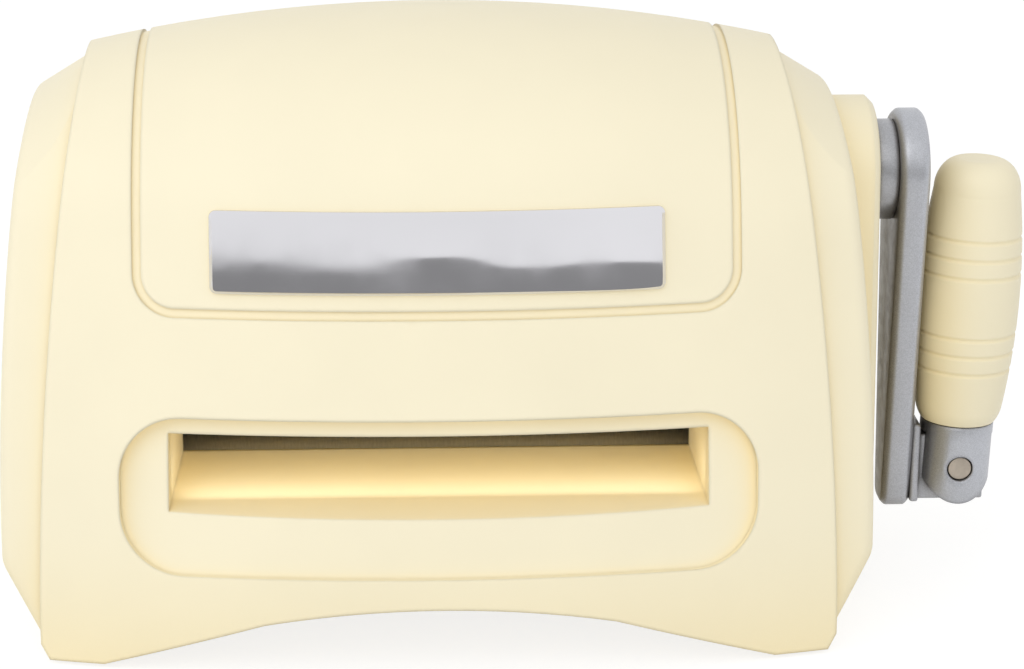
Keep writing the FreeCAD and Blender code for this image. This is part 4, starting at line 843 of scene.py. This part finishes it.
class MACHINE_OT_nameplate(bpy.types.Operator):
    """Bright plate on the front"""
    bl_idname = "machine.nameplate"
    bl_label = "Bright plate"

    def execute(self, context):
        sizes = context.scene.plate_form
        mesh = frame["nodes"]["nameplate"].data.copy()
        mesh.name = "mirror_sheet"
        mesh.materials.clear()
        mesh.materials.append(finishes["bright_plate"])
        normals = []
        for face in mesh.polygons:
            for vertex in face.vertices:
                bowed = self.bowed_normal(mesh.vertices[vertex].co, sizes)
                on_front = bowed.dot(face.normal) > math.cos(sizes.rim)
                normals.append(bowed if on_front else face.normal)
        mesh.normals_split_custom_set(normals)
        stands_for(linked("mirror_sheet", mesh), "nameplate")
        return {"FINISHED"}

    @staticmethod
    def bowed_normal(place, sizes):
        """Straight out of the shell's front, which is round about two far axes."""
        steep = Vector((0, place.y - sizes.side_axis, place.z)).normalized()
        sideways = place.x / sizes.bow_radius
        return Vector((sideways, 0, 0)) + steep * math.sqrt(1 - sideways ** 2)


class MACHINE_OT_mechanism(bpy.types.Operator):
    """Frame, rollers, bearings and gears inside the shell"""
    bl_idname = "machine.mechanism"
    bl_label = "Mechanism"

    def execute(self, context):
        carried_over("upper_roller", "lower_roller", finish=finishes["roller_steel"])
        carried_over(
            "left_side_plate", "right_side_plate", "gear_plate", "tie_rods", "gear_plate_spacers",
            "frame_screws", "roller_bushings", "crank_bushings", "upper_roller_rings",
            "lower_roller_rings", "upper_sync_gear", "lower_sync_gear", "drive_gear",
            "crank_pinion", "crank_shaft", "crank_shaft_ring")
        return {"FINISHED"}


class MACHINE_OT_crank(bpy.types.Operator):
    """Silver crank arm with its hub, hinge, socket and spindle"""
    bl_idname = "machine.crank"
    bl_label = "Crank"

    def execute(self, context):
        edges = context.scene.soft_edges
        softened("crank_arm", edges.arm, segments=5)
        softened("crank_hub", edges.hub)
        softened("hinge_block", edges.block)
        softened("handle_socket", edges.socket)
        softened("hinge_pin", edges.pin, finish=finishes["pin_steel"])
        carried_over("grip_spindle")
        return {"FINISHED"}


class MACHINE_OT_grip(bpy.types.Operator):
    """Cream grip that turns on its spindle"""
    bl_idname = "machine.grip"
    bl_label = "Grip"

    def execute(self, context):
        sizes = context.scene.grip_sizes
        spin = next(joint for joint in frame["joints"] if joint["name"] == "grip_spin")
        values = {key: getattr(sizes, key) for key in GripSizes.__annotations__}
        piece = grip_recipe().apply(
            "turned_grip", [(0, 0, 0)], pin=tuple(spin["pos_m"]), material=finishes["cream_grip"],
            **values)
        smoothed(piece)
        stands_for(piece, "handle_grip")
        return {"FINISHED"}


class MACHINE_OT_screws(bpy.types.Operator):
    """Screws under the base and in the crank arm"""
    bl_idname = "machine.screws"
    bl_label = "Screws"

    def execute(self, context):
        sizes = context.scene.screw_sizes
        recipe = screw_recipe()
        for kind in ("shell", "base"):
            low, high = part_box(f"{kind}_screws")
            head = getattr(sizes, f"{kind}_head")
            across, along = high.x - head, high.y - head
            corners = [(x, y, low.z) for x in (-across, across) for y in (-along, along)]
            self.drive(recipe, f"{kind}_screws", kind, corners, high.z - low.z, sides=4)
        low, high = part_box("crank_screw")
        middle = (low + high) / 2
        self.drive(
            recipe, "crank_screw", "crank", [(high.x, middle.y, middle.z)], high.x - low.x, sides=6,
            turn=(0.0, -math.pi / 2, 0.0))
        return {"FINISHED"}

    @staticmethod
    def drive(recipe, node, kind, points, whole, sides, turn=(0.0, 0.0, 0.0)):
        """A screw of this kind and whole length at each point, its head's face there."""
        sizes = bpy.context.scene.screw_sizes
        head, height = getattr(sizes, f"{kind}_head"), getattr(sizes, f"{kind}_head_height")
        piece = recipe.apply(
            f"{node}_driven", points, head=head, height=height,
            shank=getattr(sizes, f"{kind}_shank"), reach=whole - height,
            drive=head * RECESS_WIDTH, sides=sides, turn=turn, material=finishes["turned_steel"])
        smoothed(piece)
        stands_for(piece, node)


OPERATORS = [
    MACHINE_OT_stage, MACHINE_OT_housing, MACHINE_OT_nameplate, MACHINE_OT_mechanism,
    MACHINE_OT_crank, MACHINE_OT_grip, MACHINE_OT_screws,
]


class MACHINE_PT_sidebar(bpy.types.Panel):
    """The machine's pieces and the sizes that they are made from"""
    bl_label = "Die cutting machine"
    bl_idname = "MACHINE_PT_sidebar"
    bl_space_type = "VIEW_3D"
    bl_region_type = "UI"
    bl_category = "Die cutting machine"

    def draw(self, context):
        for operator in OPERATORS:
            self.layout.operator(operator.bl_idname)
        for key, group in GROUPS.items():
            box = self.layout.box()
            for name in group.__annotations__:
                box.prop(getattr(context.scene, key), name)


def register():
    for group in GROUPS.values():
        bpy.utils.register_class(group)
    for key, group in GROUPS.items():
        setattr(bpy.types.Scene, key, PointerProperty(type=group))
    for kind in (*OPERATORS, MACHINE_PT_sidebar):
        bpy.utils.register_class(kind)


def unregister():
    for kind in (MACHINE_PT_sidebar, *reversed(OPERATORS)):
        bpy.utils.unregister_class(kind)
    for key, group in GROUPS.items():
        delattr(bpy.types.Scene, key)
        bpy.utils.unregister_class(group)


def main():
    """Every piece in order, then the bounds of the imported parts and of the finished scene."""
    register()
    finishes.update(make_finishes(bpy.context.scene))
    for operator in OPERATORS:
        family, name = operator.bl_idname.split(".")
        getattr(getattr(bpy.ops, family), name)()
    boxes = {"cad": cad_box, "visual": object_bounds()}
    {key: [list(corner) for corner in box] for key, box in boxes.items()}


if __name__ == "__main__":
    main()
